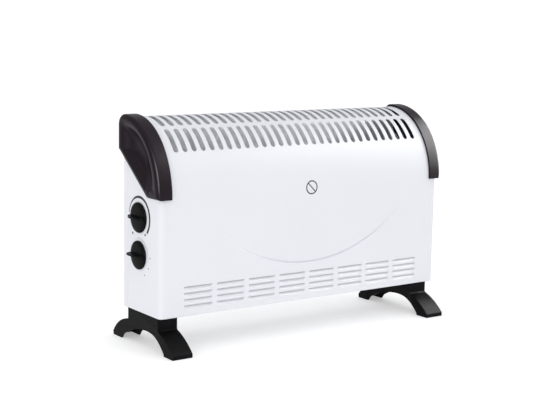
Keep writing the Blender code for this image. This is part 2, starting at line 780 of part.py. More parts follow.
def knob_fin(face_x, z, radius, tail_h):
    """Grip fin along Y: highest in the middle, tail_h high at its rear end, with eased edges."""
    root = 2.2 * MM
    tip = KNOB_REACH - 0.5 * MM
    half = 3.2 * MM
    eased = 0.93
    side_view = [(-0.97 * radius, root), (0.97 * radius, root), (0.97 * radius, tail_h),
                 (0.75 * radius, tail_h + 3 * MM), (0.35 * radius, tip), (-0.35 * radius, tip),
                 (-0.75 * radius, tip - 2.5 * MM), (-0.97 * radius, tip - 6 * MM)]
    loops = []
    for offset, height in ((-half, eased), (-0.7 * half, 1.0), (0.7 * half, 1.0), (half, eased)):
        loops.append([(face_x - (h if h == root else h * height), KNOB_Y + y, z + offset)
                      for y, h in side_view])
    return loft(loops)


def knob(name, z, radius, tail_h, mats):
    """Rotary knob turning about X: a shallow dome with a grip fin lying along Y."""
    face_x = -CASE_HALF_W - 0.5 * MM
    skirt = 3.0 * MM
    dome = 1.6 * MM
    ease = 0.6 * MM
    profile = [(radius * 0.5, 0), (radius - ease, 0), (radius, ease), (radius, skirt - ease),
               (radius - 2 * ease, skirt), (radius * 0.7, skirt + dome * 0.7),
               (radius * 0.35, skirt + dome)]
    disc = turned([(r, face_x - h) for r, h in profile], "X", (KNOB_Y, z), 40)
    obj = place(name, disc, mats["black_plastic"], (face_x, KNOB_Y, z))
    fin = place(name + "_fin", knob_fin(face_x, z, radius, tail_h), mats["black_plastic"],
                (face_x, KNOB_Y, z))
    fin.hide_render = True
    fin.display_type = "WIRE"
    combine(obj, fin, "UNION")
    return obj


def control_shaft(name, z, parent, mats):
    """Shaft from the back of a knob to the front of its switch body."""
    start = -CASE_HALF_W - 0.2 * MM
    end = -CASE_HALF_W + 13 * MM
    steps = [(SHAFT_R, start), (SHAFT_R, end)]
    return place(name, turned(steps, "X", (KNOB_Y, z), 16), mats["steel_shaft"],
                 (start, KNOB_Y, z), parent)


def controls(panel, mats):
    for name, z, radius, tail_h in (
            ("thermostat", THERMOSTAT_Z, THERMOSTAT_R, THERMOSTAT_TAIL_H),
            ("selector", SELECTOR_Z, SELECTOR_R, SELECTOR_TAIL_H)):
        dial = knob(name + "_knob", z, radius, tail_h, mats)
        control_shaft(name + "_shaft", z, dial, mats)
    steps = [(4 * MM, -CASE_HALF_W - 5 * MM), (4 * MM, -CASE_HALF_W + 12 * MM)]
    places = [(KNOB_Y, THERMOSTAT_Z), (KNOB_Y, SELECTOR_Z)]
    holes = bore_cutter("control_holes", places, "X", steps, 20)
    cut(panel, holes)
    bracket_x = -CASE_HALF_W + 8 * MM
    bracket = place("control_bracket",
                    box((bracket_x, KNOB_Y - 26 * MM, 128 * MM),
                        (bracket_x + 1.5 * MM, KNOB_Y + 26 * MM, 246 * MM)), mats["galvanised"])
    cut(bracket, holes)
    body_x = -CASE_HALF_W + 14 * MM
    steps = [(15 * MM, body_x), (15 * MM, body_x + 6 * MM), (11 * MM, body_x + 8 * MM),
             (11 * MM, body_x + 20 * MM)]
    place("thermostat_body", turned(steps, "X", (KNOB_Y, THERMOSTAT_Z), 24), mats["ceramic"])
    place("selector_switch_body",
          box((body_x, KNOB_Y - 14 * MM, SELECTOR_Z - 13 * MM),
              (body_x + 24 * MM, KNOB_Y + 14 * MM, SELECTOR_Z + 13 * MM)), mats["grey_nylon"])


# ---------------------------------------------------------------- heating element

def element(mats):
    """Two wire runs strung through mica boards between two rails."""
    for name, side in (("element_rail_front", -1), ("element_rail_rear", 1)):
        low, high = sorted((side * RAIL_Y, side * (RAIL_Y + 1.2 * MM)))
        place(name, box((-RAIL_X, low, RAIL_Z), (RAIL_X, high, RAIL_Z + RAIL_H)), mats["galvanised"])
    for name, side in (("element_end_left", LEFT), ("element_end_right", RIGHT)):
        low, high = sorted((side * (RAIL_X - 3 * MM), side * (RAIL_X - 4.5 * MM)))
        place(name, box((low, -RAIL_Y + GAP, RAIL_Z), (high, RAIL_Y - GAP, RAIL_Z + RAIL_H)),
              mats["galvanised"])
    run_y = 14 * MM
    run_low = RAIL_Z + 9 * MM
    run_high = RAIL_Z + 25 * MM
    reach = RAIL_X - 12 * MM
    boards = []
    for number, x in enumerate((-150 * MM, 0, 150 * MM), start=1):
        thick = 1 * MM
        boards.append(place(
            f"mica_board_{number}",
            box((x - thick, -RAIL_Y + GAP, RAIL_Z + 2 * MM), (x + thick, RAIL_Y - GAP, RAIL_Z + RAIL_H)),
            mats["mica_board"]))
    holes = [(side * run_y, z) for side in (-1, 1) for z in (run_low, run_high)]
    steps = [(ELEMENT_R + 0.7 * MM, -RAIL_X), (ELEMENT_R + 0.7 * MM, RAIL_X)]
    cutter = bore_cutter("wire_holes", holes, "X", steps, 10)
    for board in boards:
        cut(board, cutter)
    for number, side in ((1, -1), (2, 1)):
        y = side * run_y
        path = [(-reach, y, run_low), (reach - 8 * MM, y, run_low), (reach, y, run_low + 6 * MM),
                (reach, y, run_high - 6 * MM), (reach - 8 * MM, y, run_high), (-reach, y, run_high)]
        place(f"heating_element_{number}", swept_tube(path, ELEMENT_R, 8), mats["resistance_wire"])
    place("thermal_cutout", turned([(8 * MM, RAIL_Z + RAIL_H + 1 * MM), (8 * MM, RAIL_Z + RAIL_H + 6 * MM),
                                    (5 * MM, RAIL_Z + RAIL_H + 8 * MM)], "Z", (80 * MM, 0), 16),
          mats["ceramic"], (80 * MM, 0, RAIL_Z + RAIL_H + 1 * MM))
    strap_z = RAIL_Z + RAIL_H
    place("cutout_strap", box((74 * MM, -RAIL_Y, strap_z + GAP / 2), (86 * MM, RAIL_Y, strap_z + 0.9 * MM)),
          mats["galvanised"])


# ---------------------------------------------------------------- fan

def impeller(parent, mats):
    """Hub and five pitched blades in one moulding."""
    blades = 5
    sides = blades * 4
    hub_r = 13 * MM
    base_z = IMPELLER_Z
    top_z = base_z + IMPELLER_H
    steps = [(2.9 * MM, base_z), (hub_r, base_z), (hub_r, top_z), (2.9 * MM, top_z)]
    bm = turned(steps, "Z", (FAN_X, 0), sides, ring=True)
    bm.faces.ensure_lookup_table()
    bm.normal_update()
    side_faces = []
    for face in bm.faces:
        middle = face.calc_center_median()
        flat_r = math.hypot(middle.x - FAN_X, middle.y)
        if flat_r > hub_r * 0.9 and abs(middle.z - (base_z + top_z) / 2) < 1e-6:
            side_faces.append((math.atan2(middle.y, middle.x - FAN_X) % (2 * math.pi), face))
    side_faces.sort(key=lambda entry: entry[0])
    for i in range(blades):
        face = side_faces[i * 4][1]
        angle = side_faces[i * 4][0]
        grown = bmesh.ops.extrude_discrete_faces(bm, faces=[face])["faces"][0]
        for loop_vert in grown.verts:
            turn = math.atan2(loop_vert.co.y, loop_vert.co.x - FAN_X) - angle
            turn = (turn + math.pi) % (2 * math.pi) - math.pi
            leading = turn > 0
            upper = loop_vert.co.z > (base_z + top_z) / 2
            swing = math.radians(26 if leading else -8) + math.radians(3 if upper else 0)
            height = base_z + (2.5 * MM if leading else IMPELLER_H - 4 * MM) + (1.5 * MM if upper else 0)
            loop_vert.co = Vector((FAN_X + IMPELLER_R * math.cos(angle + swing),
                                   IMPELLER_R * math.sin(angle + swing), height))
    return place("fan_impeller", bm, mats["black_plastic"], (FAN_X, 0, base_z), parent)


def fan(mats):
    """Axial fan blowing up through the element, driven by a shaded-pole motor above it."""
    plate_half_x = 66 * MM
    plate_half_y = 56 * MM
    place("fan_plate", plate_with_hole(plate_half_x, plate_half_y, (FAN_X, 0), FAN_HOLE_R,
                                       FAN_PLATE_Z, FAN_PLATE_Z + SHEET, 32), mats["galvanised"])
    ring = [(FAN_HOLE_R, IMPELLER_Z - 1 * MM), (FAN_HOLE_R + 1.6 * MM, IMPELLER_Z - 1 * MM),
            (FAN_HOLE_R + 1.6 * MM, FAN_PLATE_Z - GAP), (FAN_HOLE_R, FAN_PLATE_Z - GAP)]
    place("fan_shroud", turned(ring, "Z", (FAN_X, 0), 32, ring=True), mats["galvanised"])
    shaft_low = IMPELLER_Z - 3 * MM
    shaft_high = MOTOR_Z + MOTOR_H + 8 * MM
    shaft = place("fan_shaft", turned([(2.5 * MM, shaft_low), (2.5 * MM, shaft_high)], "Z",
                                      (FAN_X, 0), 12), mats["steel_shaft"], (FAN_X, 0, shaft_low))
    impeller(shaft, mats)
    rotor = [(2.8 * MM, MOTOR_Z - 1 * MM), (10 * MM, MOTOR_Z - 1 * MM),
             (10 * MM, MOTOR_Z + MOTOR_H + 1 * MM), (2.8 * MM, MOTOR_Z + MOTOR_H + 1 * MM)]
    place("motor_rotor", turned(rotor, "Z", (FAN_X, 0), 20, ring=True), mats["steel_shaft"],
          (FAN_X, 0, MOTOR_Z), shaft)
    half_x = 23 * MM
    half_y = 17 * MM
    core = plate_with_hole(half_x, half_y, (FAN_X, 0), 11 * MM, MOTOR_Z, MOTOR_Z + MOTOR_H, 24)
    place("motor_core", core, mats["galvanised"])
    leg_y = (half_y + GAP, 40 * MM)
    leg_x = 10 * MM
    yoke = [(-half_x, leg_y[0]), (-half_x + leg_x, leg_y[0]), (-half_x + leg_x, leg_y[1] - leg_x),
            (half_x - leg_x, leg_y[1] - leg_x), (half_x - leg_x, leg_y[0]), (half_x, leg_y[0]),
            (half_x, leg_y[1]), (-half_x, leg_y[1])]
    place("motor_yoke", prism([(FAN_X + x, y) for x, y in yoke], "Z", MOTOR_Z, MOTOR_Z + MOTOR_H),
          mats["galvanised"])
    coil_x = half_x - leg_x - 0.5 * MM
    grow = 5 * MM
    window = [(leg_y[1] - leg_x - GAP, MOTOR_Z - GAP), (leg_y[1] + GAP, MOTOR_Z - GAP),
              (leg_y[1] + GAP, MOTOR_Z + MOTOR_H + GAP), (leg_y[1] - leg_x - GAP, MOTOR_Z + MOTOR_H + GAP)]
    outside = [(leg_y[1] - leg_x - grow, MOTOR_Z - grow), (leg_y[1] + grow, MOTOR_Z - grow),
               (leg_y[1] + grow, MOTOR_Z + MOTOR_H + grow),
               (leg_y[1] - leg_x - grow, MOTOR_Z + MOTOR_H + grow)]
    coil = [(window, -coil_x), (outside, -coil_x), (outside, coil_x), (window, coil_x)]
    place("motor_coil", loft([[(FAN_X + x, y, z) for y, z in loop] for loop, x in coil], ring=True),
          mats["copper_coil"])
    top_z = shaft_high + GAP
    place("motor_bridge_top", box((FAN_X - 21 * MM, -6 * MM, top_z),
                                  (FAN_X + 21 * MM, 6 * MM, top_z + 2 * MM)), mats["galvanised"])
    low_z = MOTOR_Z - 6 * MM
    bridge = plate_with_hole(60 * MM, 7 * MM, (FAN_X, 0), 3.2 * MM, low_z, low_z + 2 * MM, 16)
    place("motor_bridge_bottom", bridge, mats["galvanised"])
    for name, x in (("motor_post_1", -18 * MM), ("motor_post_2", 18 * MM)):
        post = [(1.8 * MM, low_z + 2 * MM + GAP), (1.8 * MM, MOTOR_Z - GAP)]
        place(name, turned(post, "Z", (FAN_X + x, 0), 10), mats["steel_shaft"])


# ---------------------------------------------------------------- wiring and supply

def supply(rear, mats):
    """Terminal block behind the controls, and the gland where a cord comes in through the back."""
    block_y = 32 * MM
    place("terminal_block", box((SUPPLY_X - 16 * MM, block_y - 9 * MM, 64 * MM),
                                (SUPPLY_X + 16 * MM, block_y + 9 * MM, 80 * MM)), mats["ceramic"])
    inner_face = REAR_Y - SHEET
    profile = [(GLAND_BORE_R, inner_face - 6 * MM), (7 * MM, inner_face - 6 * MM),
               (7 * MM, inner_face - GAP), (5.4 * MM, inner_face - GAP), (5.4 * MM, REAR_Y + GAP),
               (GLAND_R, REAR_Y + GAP), (GLAND_R, REAR_Y + 4 * MM), (6 * MM, REAR_Y + 10 * MM),
               (GLAND_BORE_R, REAR_Y + 10 * MM)]
    place("cord_gland", turned(profile, "Y", (SUPPLY_X, GLAND_Z), 20, ring=True), mats["black_plastic"])
    hole = [(6 * MM, REAR_Y - 10 * MM), (6 * MM, REAR_Y + 10 * MM)]
    cut(rear, bore_cutter("gland_hole", [(SUPPLY_X, GLAND_Z)], "Y", hole, 20))


def wires(mats):
    """Sleeved wires between the terminals, the switches, the element and the motor, in mm."""
    routes = {
        "wire_terminal_to_selector": [(-256, 30, 80.5), (-256, 28, 95), (-262, 18, 115),
                                      (-264, 8, 132), (-264, 4, 142)],
        "wire_selector_to_thermostat": [(-264, 8, 169.6), (-262, 10, 180), (-262, 10, 192),
                                        (-264, 8, 206.8)],
        "wire_selector_to_element": [(-257.3, -4, 156), (-250, -5, 160), (-242, -10, 176),
                                     (-236, -14, 200), (-228, -14, 208), (-219, -14, 206),
                                     (-216, -14, 199)],
        "wire_selector_to_motor": [(-257.3, 6, 150), (-245, 12, 142), (-200, 30, 134),
                                   (-130, 42, 132), (-95, 40, 135), (-74, 38, 134),
                                   (-58, 35, 133)],
    }
    for name, route in routes.items():
        points = [(x * MM, y * MM, z * MM) for x, y, z in route]
        place(name, swept_tube(points, WIRE_R, 6), mats["wire_jacket"])


def build():
    clear_scene()
    mats = make_materials()
    front = front_panel(mats)
    rear = rear_panel(mats)
    base = base_plate(mats)
    left_cap = end_cap("left_end_cap", LEFT, mats)
    right_cap = end_cap("right_end_cap", RIGHT, mats)
    foot("left_foot", LEFT, mats)
    foot("right_foot", RIGHT, mats)
    bent_shield("rear_heat_shield", mats, 52 * MM, 105 * MM, 358 * MM, -4 * MM, 272 * MM)
    bent_shield("front_heat_shield", mats, -50 * MM, 125 * MM, 290 * MM, -6 * MM, 272 * MM)
    foot_screws(mats)
    cap_screws(left_cap, right_cap, front, mats)
    rear_screws(rear, front, base, mats)
    steps = [(2.4 * MM, CASE_BOTTOM - 2 * MM), (2.4 * MM, CASE_BOTTOM + 8 * MM)]
    places = foot_screw_places(LEFT) + foot_screw_places(RIGHT)
    cut(base, bore_cutter("base_screw_holes", places, "Z", steps))
    controls(front, mats)
    element(mats)
    fan(mats)
    supply(rear, mats)
    wires(mats)


build()
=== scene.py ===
"""Looks for the fan convector heater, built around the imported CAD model.

Shapes are worked out in millimetres in the case's own frame (x = 0 and y = 0 at the middle of
the case, z = 0 on the floor, front towards -Y, controls on the -X side) and are moved to the
row frame, in metres, when a piece is made.
"""
import math

import bmesh
import bpy
from mathutils import Matrix, Vector

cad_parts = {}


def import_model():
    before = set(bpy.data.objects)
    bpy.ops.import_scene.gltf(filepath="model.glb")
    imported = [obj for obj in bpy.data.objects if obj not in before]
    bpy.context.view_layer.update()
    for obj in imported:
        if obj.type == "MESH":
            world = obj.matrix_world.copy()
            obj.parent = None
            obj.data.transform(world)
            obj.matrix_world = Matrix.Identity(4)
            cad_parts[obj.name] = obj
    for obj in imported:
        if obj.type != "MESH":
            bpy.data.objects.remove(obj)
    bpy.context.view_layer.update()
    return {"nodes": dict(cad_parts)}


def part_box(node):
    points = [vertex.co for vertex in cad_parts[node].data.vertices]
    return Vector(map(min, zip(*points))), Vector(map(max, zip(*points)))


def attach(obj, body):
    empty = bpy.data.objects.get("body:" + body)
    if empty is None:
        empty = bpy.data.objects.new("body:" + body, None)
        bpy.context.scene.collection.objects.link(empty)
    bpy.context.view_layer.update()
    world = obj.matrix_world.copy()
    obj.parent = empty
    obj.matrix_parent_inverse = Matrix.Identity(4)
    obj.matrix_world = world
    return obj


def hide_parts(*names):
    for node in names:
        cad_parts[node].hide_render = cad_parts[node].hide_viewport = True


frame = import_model()


MM = 0.001
LEFT = -1
RIGHT = 1
HOUSING = "housing"


def node_box(name):
    """Lowest and highest corner of a CAD node in mm, in the row frame."""
    low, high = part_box(name)
    return low / MM, high / MM


PANEL_LOW, PANEL_HIGH = node_box("front_panel")
CASE_ORIGIN = Vector(((PANEL_LOW.x + PANEL_HIGH.x) / 2, (PANEL_LOW.y + PANEL_HIGH.y) / 2, 0))


def case_box(name):
    """Lowest and highest corner of a CAD node in mm, in the case's own frame."""
    low, high = node_box(name)
    return low - CASE_ORIGIN, high - CASE_ORIGIN


# Case
HALF_W = (PANEL_HIGH.x - PANEL_LOW.x) / 2
HALF_D = (PANEL_HIGH.y - PANEL_LOW.y) / 2
BOTTOM = PANEL_LOW.z
CROWN_Z = PANEL_HIGH.z
SHEET = 1.2
CORNER_R = 9.0
FLAT_HALF_W = HALF_W - CORNER_R
HEM_R = 2.0
CROWN_Y = 53.0
CROWN_A = CROWN_Y + HALF_D
CROWN_B = 124.0
SPRING_Z = CROWN_Z - CROWN_B
SHOULDER_Z = 262.0
REAR_BEND_R = HALF_D - CROWN_Y
REAR_LIP_Z = 362.0
SEAM_Y = 44.0

# Outlet slots
SLOTS_PER_ROW = 30
SLOT_PITCH = 17.5
SLOT_R = 4.8
SLOT_ROWS_DEG = ((35.5, 59.5), (63.5, 89.0))

# Louvres
LOUVRE_GROUPS = 8
LOUVRE_PITCH = 63.7
LOUVRE_HALF_W = 27.5
LOUVRE_TOP_Z = 110.0
LOUVRE_ROW_PITCH = 10.4
LOUVRE_ROWS = 4
LOUVRE_HEIGHT = 6.5
LOUVRE_DEPTH = 4.6

# Crease pressed into the front
CREASE_X = 3.0
CREASE_CENTRE_Z = 417.0
CREASE_R = 290.0
CREASE_TURN = 205.0
CREASE_LEVEL = 50.0
CREASE_FULL = 130.0
CREASE_END = 216.0
CREASE_RISE = 1.0
CREASE_HALF_W = 1.6
CREASE_GROOVE = 3.2
CREASE_GROOVE_W = 1.6


# ---------------------------------------------------------------- materials

class Graph:
    """One procedural material: short names for the nodes that this script uses."""

    def __init__(self, name):
        self.mat = bpy.data.materials.new(name)
        self.mat.use_nodes = True
        self.tree = self.mat.node_tree
        self.shader = self.tree.nodes["Principled BSDF"]
        self.where = self.node("ShaderNodeTexCoord").outputs["Object"]

    def node(self, kind, **settings):
        made = self.tree.nodes.new(kind)
        for key, value in settings.items():
            setattr(made, key, value)
        return made

    def plug(self, value, socket):
        """Link an output to a socket, or set the socket to a plain value."""
        if isinstance(value, bpy.types.NodeSocket):
            self.tree.links.new(value, socket)
        else:
            socket.default_value = value

    def set(self, **values):
        """Shader inputs that are the same all over the surface."""
        for key, value in values.items():
            self.shader.inputs[key.replace("_", " ")].default_value = value

    def stretched(self, scale, turn=(0, 0, 0)):
        mapping = self.node("ShaderNodeMapping")
        self.plug(self.where, mapping.inputs["Vector"])
        mapping.inputs["Scale"].default_value = scale
        mapping.inputs["Rotation"].default_value = turn
        return mapping.outputs["Vector"]

    def noise(self, scale, detail=2.0, rough=0.5, vector=None):
        made = self.node("ShaderNodeTexNoise")
        self.plug(vector or self.where, made.inputs["Vector"])
        made.inputs["Scale"].default_value = scale
        made.inputs["Detail"].default_value = detail
        made.inputs["Roughness"].default_value = rough
        return made.outputs["Fac"]

    def cells(self, scale, feature="F1", output="Distance", vector=None):
        made = self.node("ShaderNodeTexVoronoi", feature=feature)
        self.plug(vector or self.where, made.inputs["Vector"])
        made.inputs["Scale"].default_value = scale
        return made.outputs[output]

    def wave(self, scale, direction="X", distortion=0.0, vector=None):
        made = self.node("ShaderNodeTexWave", bands_direction=direction)
        self.plug(vector or self.where, made.inputs["Vector"])
        made.inputs["Scale"].default_value = scale
        made.inputs["Distortion"].default_value = distortion
        return made.outputs["Fac"]

    def span(self, value, low, high, start=0.0, end=1.0):
        """Map start..end of a value onto low..high, clamped."""
        made = self.node("ShaderNodeMapRange")
        self.plug(value, made.inputs["Value"])
        made.inputs["From Min"].default_value = start
        made.inputs["From Max"].default_value = end
        made.inputs["To Min"].default_value = low
        made.inputs["To Max"].default_value = high
        return made.outputs["Result"]

    def sums(self, operation, first, second):
        made = self.node("ShaderNodeMath", operation=operation)
        self.plug(first, made.inputs[0])
        self.plug(second, made.inputs[1])
        return made.outputs["Value"]

    def blend(self, share, first, second):
        """Mix two colours, given as outputs or as (r, g, b)."""
        made = self.node("ShaderNodeMix", data_type="RGBA")
        self.plug(share, made.inputs["Factor"])
        for value, socket in ((first, made.inputs["A"]), (second, made.inputs["B"])):
            self.plug((*value, 1.0) if isinstance(value, tuple) else value, socket)
        return made.outputs["Result"]

    def edges(self, start, end):
        """0 on flat surfaces, up to 1 on outside edges, from how pointed the mesh is."""
        geometry = self.node("ShaderNodeNewGeometry")
        return self.span(geometry.outputs["Pointiness"], 0.0, 1.0, start, end)

    def bump(self, height, strength, depth_mm, under=None):
        made = self.node("ShaderNodeBump")
        self.plug(height, made.inputs["Height"])
        made.inputs["Strength"].default_value = strength
        made.inputs["Distance"].default_value = depth_mm * MM
        if under is not None:
            self.plug(under, made.inputs["Normal"])
        return made.outputs["Normal"]

    def finish(self, colour=None, rough=None, normal=None):
        if colour is not None:
            self.plug(colour, self.shader.inputs["Base Color"])
        if rough is not None:
            self.plug(rough, self.shader.inputs["Roughness"])
        if normal is not None:
            self.plug(normal, self.shader.inputs["Normal"])
        return self.mat


def enamel(name, light, shade):
    """Baked enamel on sheet steel: faint orange peel, and a grey tint in patches where the sheet
    folds inward.
    """
    g = Graph(name)
    cloud = g.noise(7.0, 3.0)
    paint = g.blend(cloud, shade, light)
    # Greyer in noisy patches where the mesh is hollow, as in inward folds and creases.
    folds = g.edges(0.497, 0.44)
    fold_grey = g.sums("MULTIPLY", folds, g.noise(90.0, 4.0, 0.6))
    colour = g.blend(g.sums("MULTIPLY", fold_grey, 0.22), paint, (0.42, 0.41, 0.40))
    peel = g.noise(620.0, 2.0, 0.4)
    rough = g.span(g.noise(40.0, 4.0), 0.27, 0.40)
    g.set(Specular_IOR_Level=0.08)
    return g.finish(colour, rough, g.bump(peel, 0.10, 0.06))


def moulded(name, colour, worn, rough, grain_scale, grain, specular=0.35):
    """Moulded plastic: spark-eroded grain, cloudy gloss, and paler rubbed edges."""
    g = Graph(name)
    cloud = g.noise(28.0, 4.0)
    base = g.blend(cloud, tuple(c * 0.86 for c in colour), tuple(c * 1.14 for c in colour))
    scuffs = g.span(g.noise(55.0, 5.0, 0.7, g.stretched((1.0, 0.25, 3.0), (0.3, 0.2, 0.6))),
                    0.0, 1.0, 0.60, 0.74)
    rubbed = g.sums("MULTIPLY", g.edges(0.515, 0.60), g.noise(160.0, 3.0, 0.6))
    base = g.blend(g.sums("MULTIPLY", rubbed, 0.45), base, worn)
    base = g.blend(g.sums("MULTIPLY", scuffs, 0.10), base, worn)
    pits = g.cells(grain_scale, "SMOOTH_F1")
    fine = g.noise(grain_scale * 1.7, 3.0, 0.6)
    normal = g.bump(fine, grain, 0.05, g.bump(pits, grain, 0.09))
    gloss = g.span(g.noise(75.0, 5.0, 0.65), rough - 0.05, rough + 0.06)
    gloss = g.sums("ADD", gloss, g.sums("MULTIPLY", scuffs, 0.06))
    g.set(Specular_IOR_Level=specular)
    return g.finish(base, gloss, normal)


def galvanised(name):
    """Zinc-coated sheet: spangle, rolled grain and a few dull stains."""
    g = Graph(name)
    spangle = g.cells(120.0, output="Color")
    grey = g.node("ShaderNodeRGBToBW")
    g.plug(spangle, grey.inputs["Color"])
    cell = grey.outputs["Val"]
    grain = g.noise(420.0, 4.0, 0.6, g.stretched((0.06, 1.0, 1.0)))
    tone = g.blend(cell, (0.60, 0.61, 0.64), (0.74, 0.75, 0.78))
    tone = g.blend(g.sums("MULTIPLY", grain, 0.35), tone, (0.62, 0.62, 0.65))
    stain = g.span(g.noise(22.0, 5.0, 0.6), 0.0, 0.35, 0.52, 0.74)
    tone = g.blend(stain, tone, (0.45, 0.45, 0.47))
    g.set(Metallic=0.45)
    rough = g.sums("ADD", g.span(cell, 0.38, 0.52), g.sums("MULTIPLY", stain, 0.2))
    return g.finish(tone, rough, g.bump(grain, 0.12, 0.05, g.bump(cell, 0.04, 0.08)))


def bright_metal(name, light, dark, rough, stretch, scale=900.0):
    """Turned, drawn or plated metal with fine tool marks along one direction."""
    g = Graph(name)
    lines = g.noise(scale, 4.0, 0.65, g.stretched(stretch))
    cloud = g.noise(70.0, 4.0, 0.6)
    tone = g.blend(lines, dark, light)
    tone = g.blend(g.span(cloud, 0.0, 0.5, 0.5, 0.8), tone, dark)
    g.set(Metallic=1.0)
    return g.finish(tone, g.span(cloud, rough - 0.06, rough + 0.12), g.bump(lines, 0.15, 0.04))


def heat_tinted_wire(name):
    """Nickel-chrome wire that has been hot: brown, straw and blue oxide in patches."""
    g = Graph(name)
    patch = g.noise(60.0, 4.0, 0.6)
    tone = g.blend(g.span(patch, 0.0, 1.0, 0.35, 0.65), (0.20, 0.17, 0.16), (0.42, 0.34, 0.26))
    tone = g.blend(g.span(g.noise(95.0, 3.0), 0.0, 0.6, 0.55, 0.75), tone, (0.14, 0.17, 0.26))
    g.set(Metallic=0.9)
    scale = g.noise(2400.0, 3.0, 0.7)
    return g.finish(tone, g.span(scale, 0.38, 0.60), g.bump(scale, 0.3, 0.05))


def mica(name):
    """Pressed mica board: overlapping silvery flakes in an amber binder."""
    g = Graph(name)
    flakes = g.cells(260.0, output="Color", vector=g.stretched((1.0, 1.0, 1.6), (0.4, 0.2, 0.7)))
    grey = g.node("ShaderNodeRGBToBW")
    g.plug(flakes, grey.inputs["Color"])
    flake = grey.outputs["Val"]
    tone = g.blend(flake, (0.33, 0.25, 0.15), (0.66, 0.58, 0.44))
    tone = g.blend(g.span(g.noise(500.0, 4.0), 0.0, 0.5, 0.5, 0.8), tone, (0.75, 0.70, 0.60))
    g.set(Metallic=0.15)
    return g.finish(tone, g.span(flake, 0.30, 0.65), g.bump(flake, 0.25, 0.12))


def ceramic(name):
    """Glazed steatite: warm white with fine dark specks."""
    g = Graph(name)
    specks = g.span(g.cells(900.0), 1.0, 0.0, 0.05, 0.16)
    specks = g.sums("MULTIPLY", specks, g.span(g.noise(300.0, 2.0), 0.0, 1.0, 0.5, 0.6))
    body = g.blend(g.noise(60.0, 3.0), (0.74, 0.70, 0.62), (0.86, 0.83, 0.77))
    g.set(Specular_IOR_Level=0.55)
    return g.finish(g.blend(specks, body, (0.25, 0.20, 0.15)),
                    g.span(g.noise(200.0, 3.0), 0.16, 0.34),
                     g.bump(g.noise(350.0, 3.0), 0.15, 0.08))


def enamelled_copper(name):
    g = Graph(name)
    drawn = g.noise(700.0, 3.0, 0.6, g.stretched((1.0, 1.0, 0.2)))
    tone = g.blend(drawn, (0.40, 0.13, 0.05), (0.72, 0.30, 0.14))
    tone = g.blend(g.span(g.noise(120.0, 4.0), 0.0, 0.4, 0.5, 0.75), tone, (0.25, 0.09, 0.05))
    g.set(Metallic=0.85, Coat_Weight=0.6, Coat_Roughness=0.15)
    return g.finish(tone, g.span(drawn, 0.22, 0.36), g.bump(drawn, 0.12, 0.05))


def laminated_steel(name):
    """Stack of half-millimetre stampings with varnish between them."""
    g = Graph(name)
    layers = g.wave(157.0, "Z")
    gap = g.span(layers, 1.0, 0.0, 0.0, 0.25)
    tone = g.blend(g.noise(150.0, 4.0, 0.6), (0.16, 0.16, 0.17), (0.30, 0.30, 0.31))
    tone = g.blend(gap, tone, (0.06, 0.045, 0.035))
    g.set(Metallic=0.7)
    return g.finish(tone, g.span(layers, 0.55, 0.36), g.bump(layers, 0.6, 0.15))


def braided_sleeve(name):
    """Woven glass sleeve over wire: two crossed sets of fine ribs."""
    g = Graph(name)
    one = g.wave(900.0, "DIAGONAL", 0.4)
    two = g.wave(900.0, "DIAGONAL", 0.4, g.stretched((-1.0, 1.0, 1.0)))
    weave = g.sums("MULTIPLY", one, two)
    tone = g.blend(weave, (0.52, 0.47, 0.38), (0.80, 0.77, 0.69))
    g.set(Sheen_Weight=0.25, Sheen_Roughness=0.5)
    return g.finish(tone, g.span(weave, 0.75, 0.55), g.bump(weave, 0.5, 0.15))


def printing_ink(name, dark, pale):
    """Screen-printed ink: slightly uneven coverage and a soft sheen."""
    g = Graph(name)
    cover = g.noise(1500.0, 3.0, 0.6)
    tone = g.blend(cover, dark, pale)
    g.set(Specular_IOR_Level=0.2)
    return g.finish(tone, g.span(cover, 0.38, 0.55), g.bump(cover, 0.1, 0.01))


def studio_floor(name):
    """Pale paper that glows a little, so that it stays white and its shadows stay soft."""
    g = Graph(name)
    tone = g.blend(g.noise(3.0, 4.0), (0.74, 0.74, 0.745), (0.77, 0.77, 0.77))
    g.set(Specular_IOR_Level=0.05, Emission_Color=(1.0, 1.0, 1.0, 1.0), Emission_Strength=0.4)
    return g.finish(tone, g.span(g.noise(30.0, 3.0), 0.75, 0.9),
                    g.bump(g.noise(500.0, 3.0), 0.05, 0.1))


MATERIALS = {
    "white_enamel": enamel("white_enamel", (0.800, 0.815, 0.855), (0.770, 0.785, 0.825)),
    "plum_plastic": moulded("plum_plastic", (0.0125, 0.0070, 0.0115), (0.036, 0.029, 0.036),
                            0.30, 1500.0, 0.06, 0.10),
    "black_plastic": moulded("black_plastic", (0.0042, 0.0042, 0.0048), (0.022, 0.022, 0.025),
                             0.34, 1300.0, 0.07, 0.032),
    "galvanised": galvanised("galvanised"),
    "zinc_screw": bright_metal("zinc_screw", (0.66, 0.65, 0.60), (0.46, 0.46, 0.45), 0.30,
                               (1.0, 1.0, 0.3)),
    "steel_shaft": bright_metal("steel_shaft", (0.62, 0.62, 0.64), (0.42, 0.42, 0.44), 0.24,
                                (1.0, 0.1, 0.1)),
    "resistance_wire": heat_tinted_wire("resistance_wire"),
    "mica_board": mica("mica_board"),
    "ceramic": ceramic("ceramic"),
    "copper_coil": enamelled_copper("copper_coil"),
    "grey_nylon": moulded("grey_nylon", (0.30, 0.31, 0.32), (0.48, 0.48, 0.49), 0.50, 1400.0, 0.10),
    "wire_jacket": braided_sleeve("wire_jacket"),
}
INK = printing_ink("printing_ink", (0.018, 0.017, 0.022), (0.034, 0.033, 0.040))
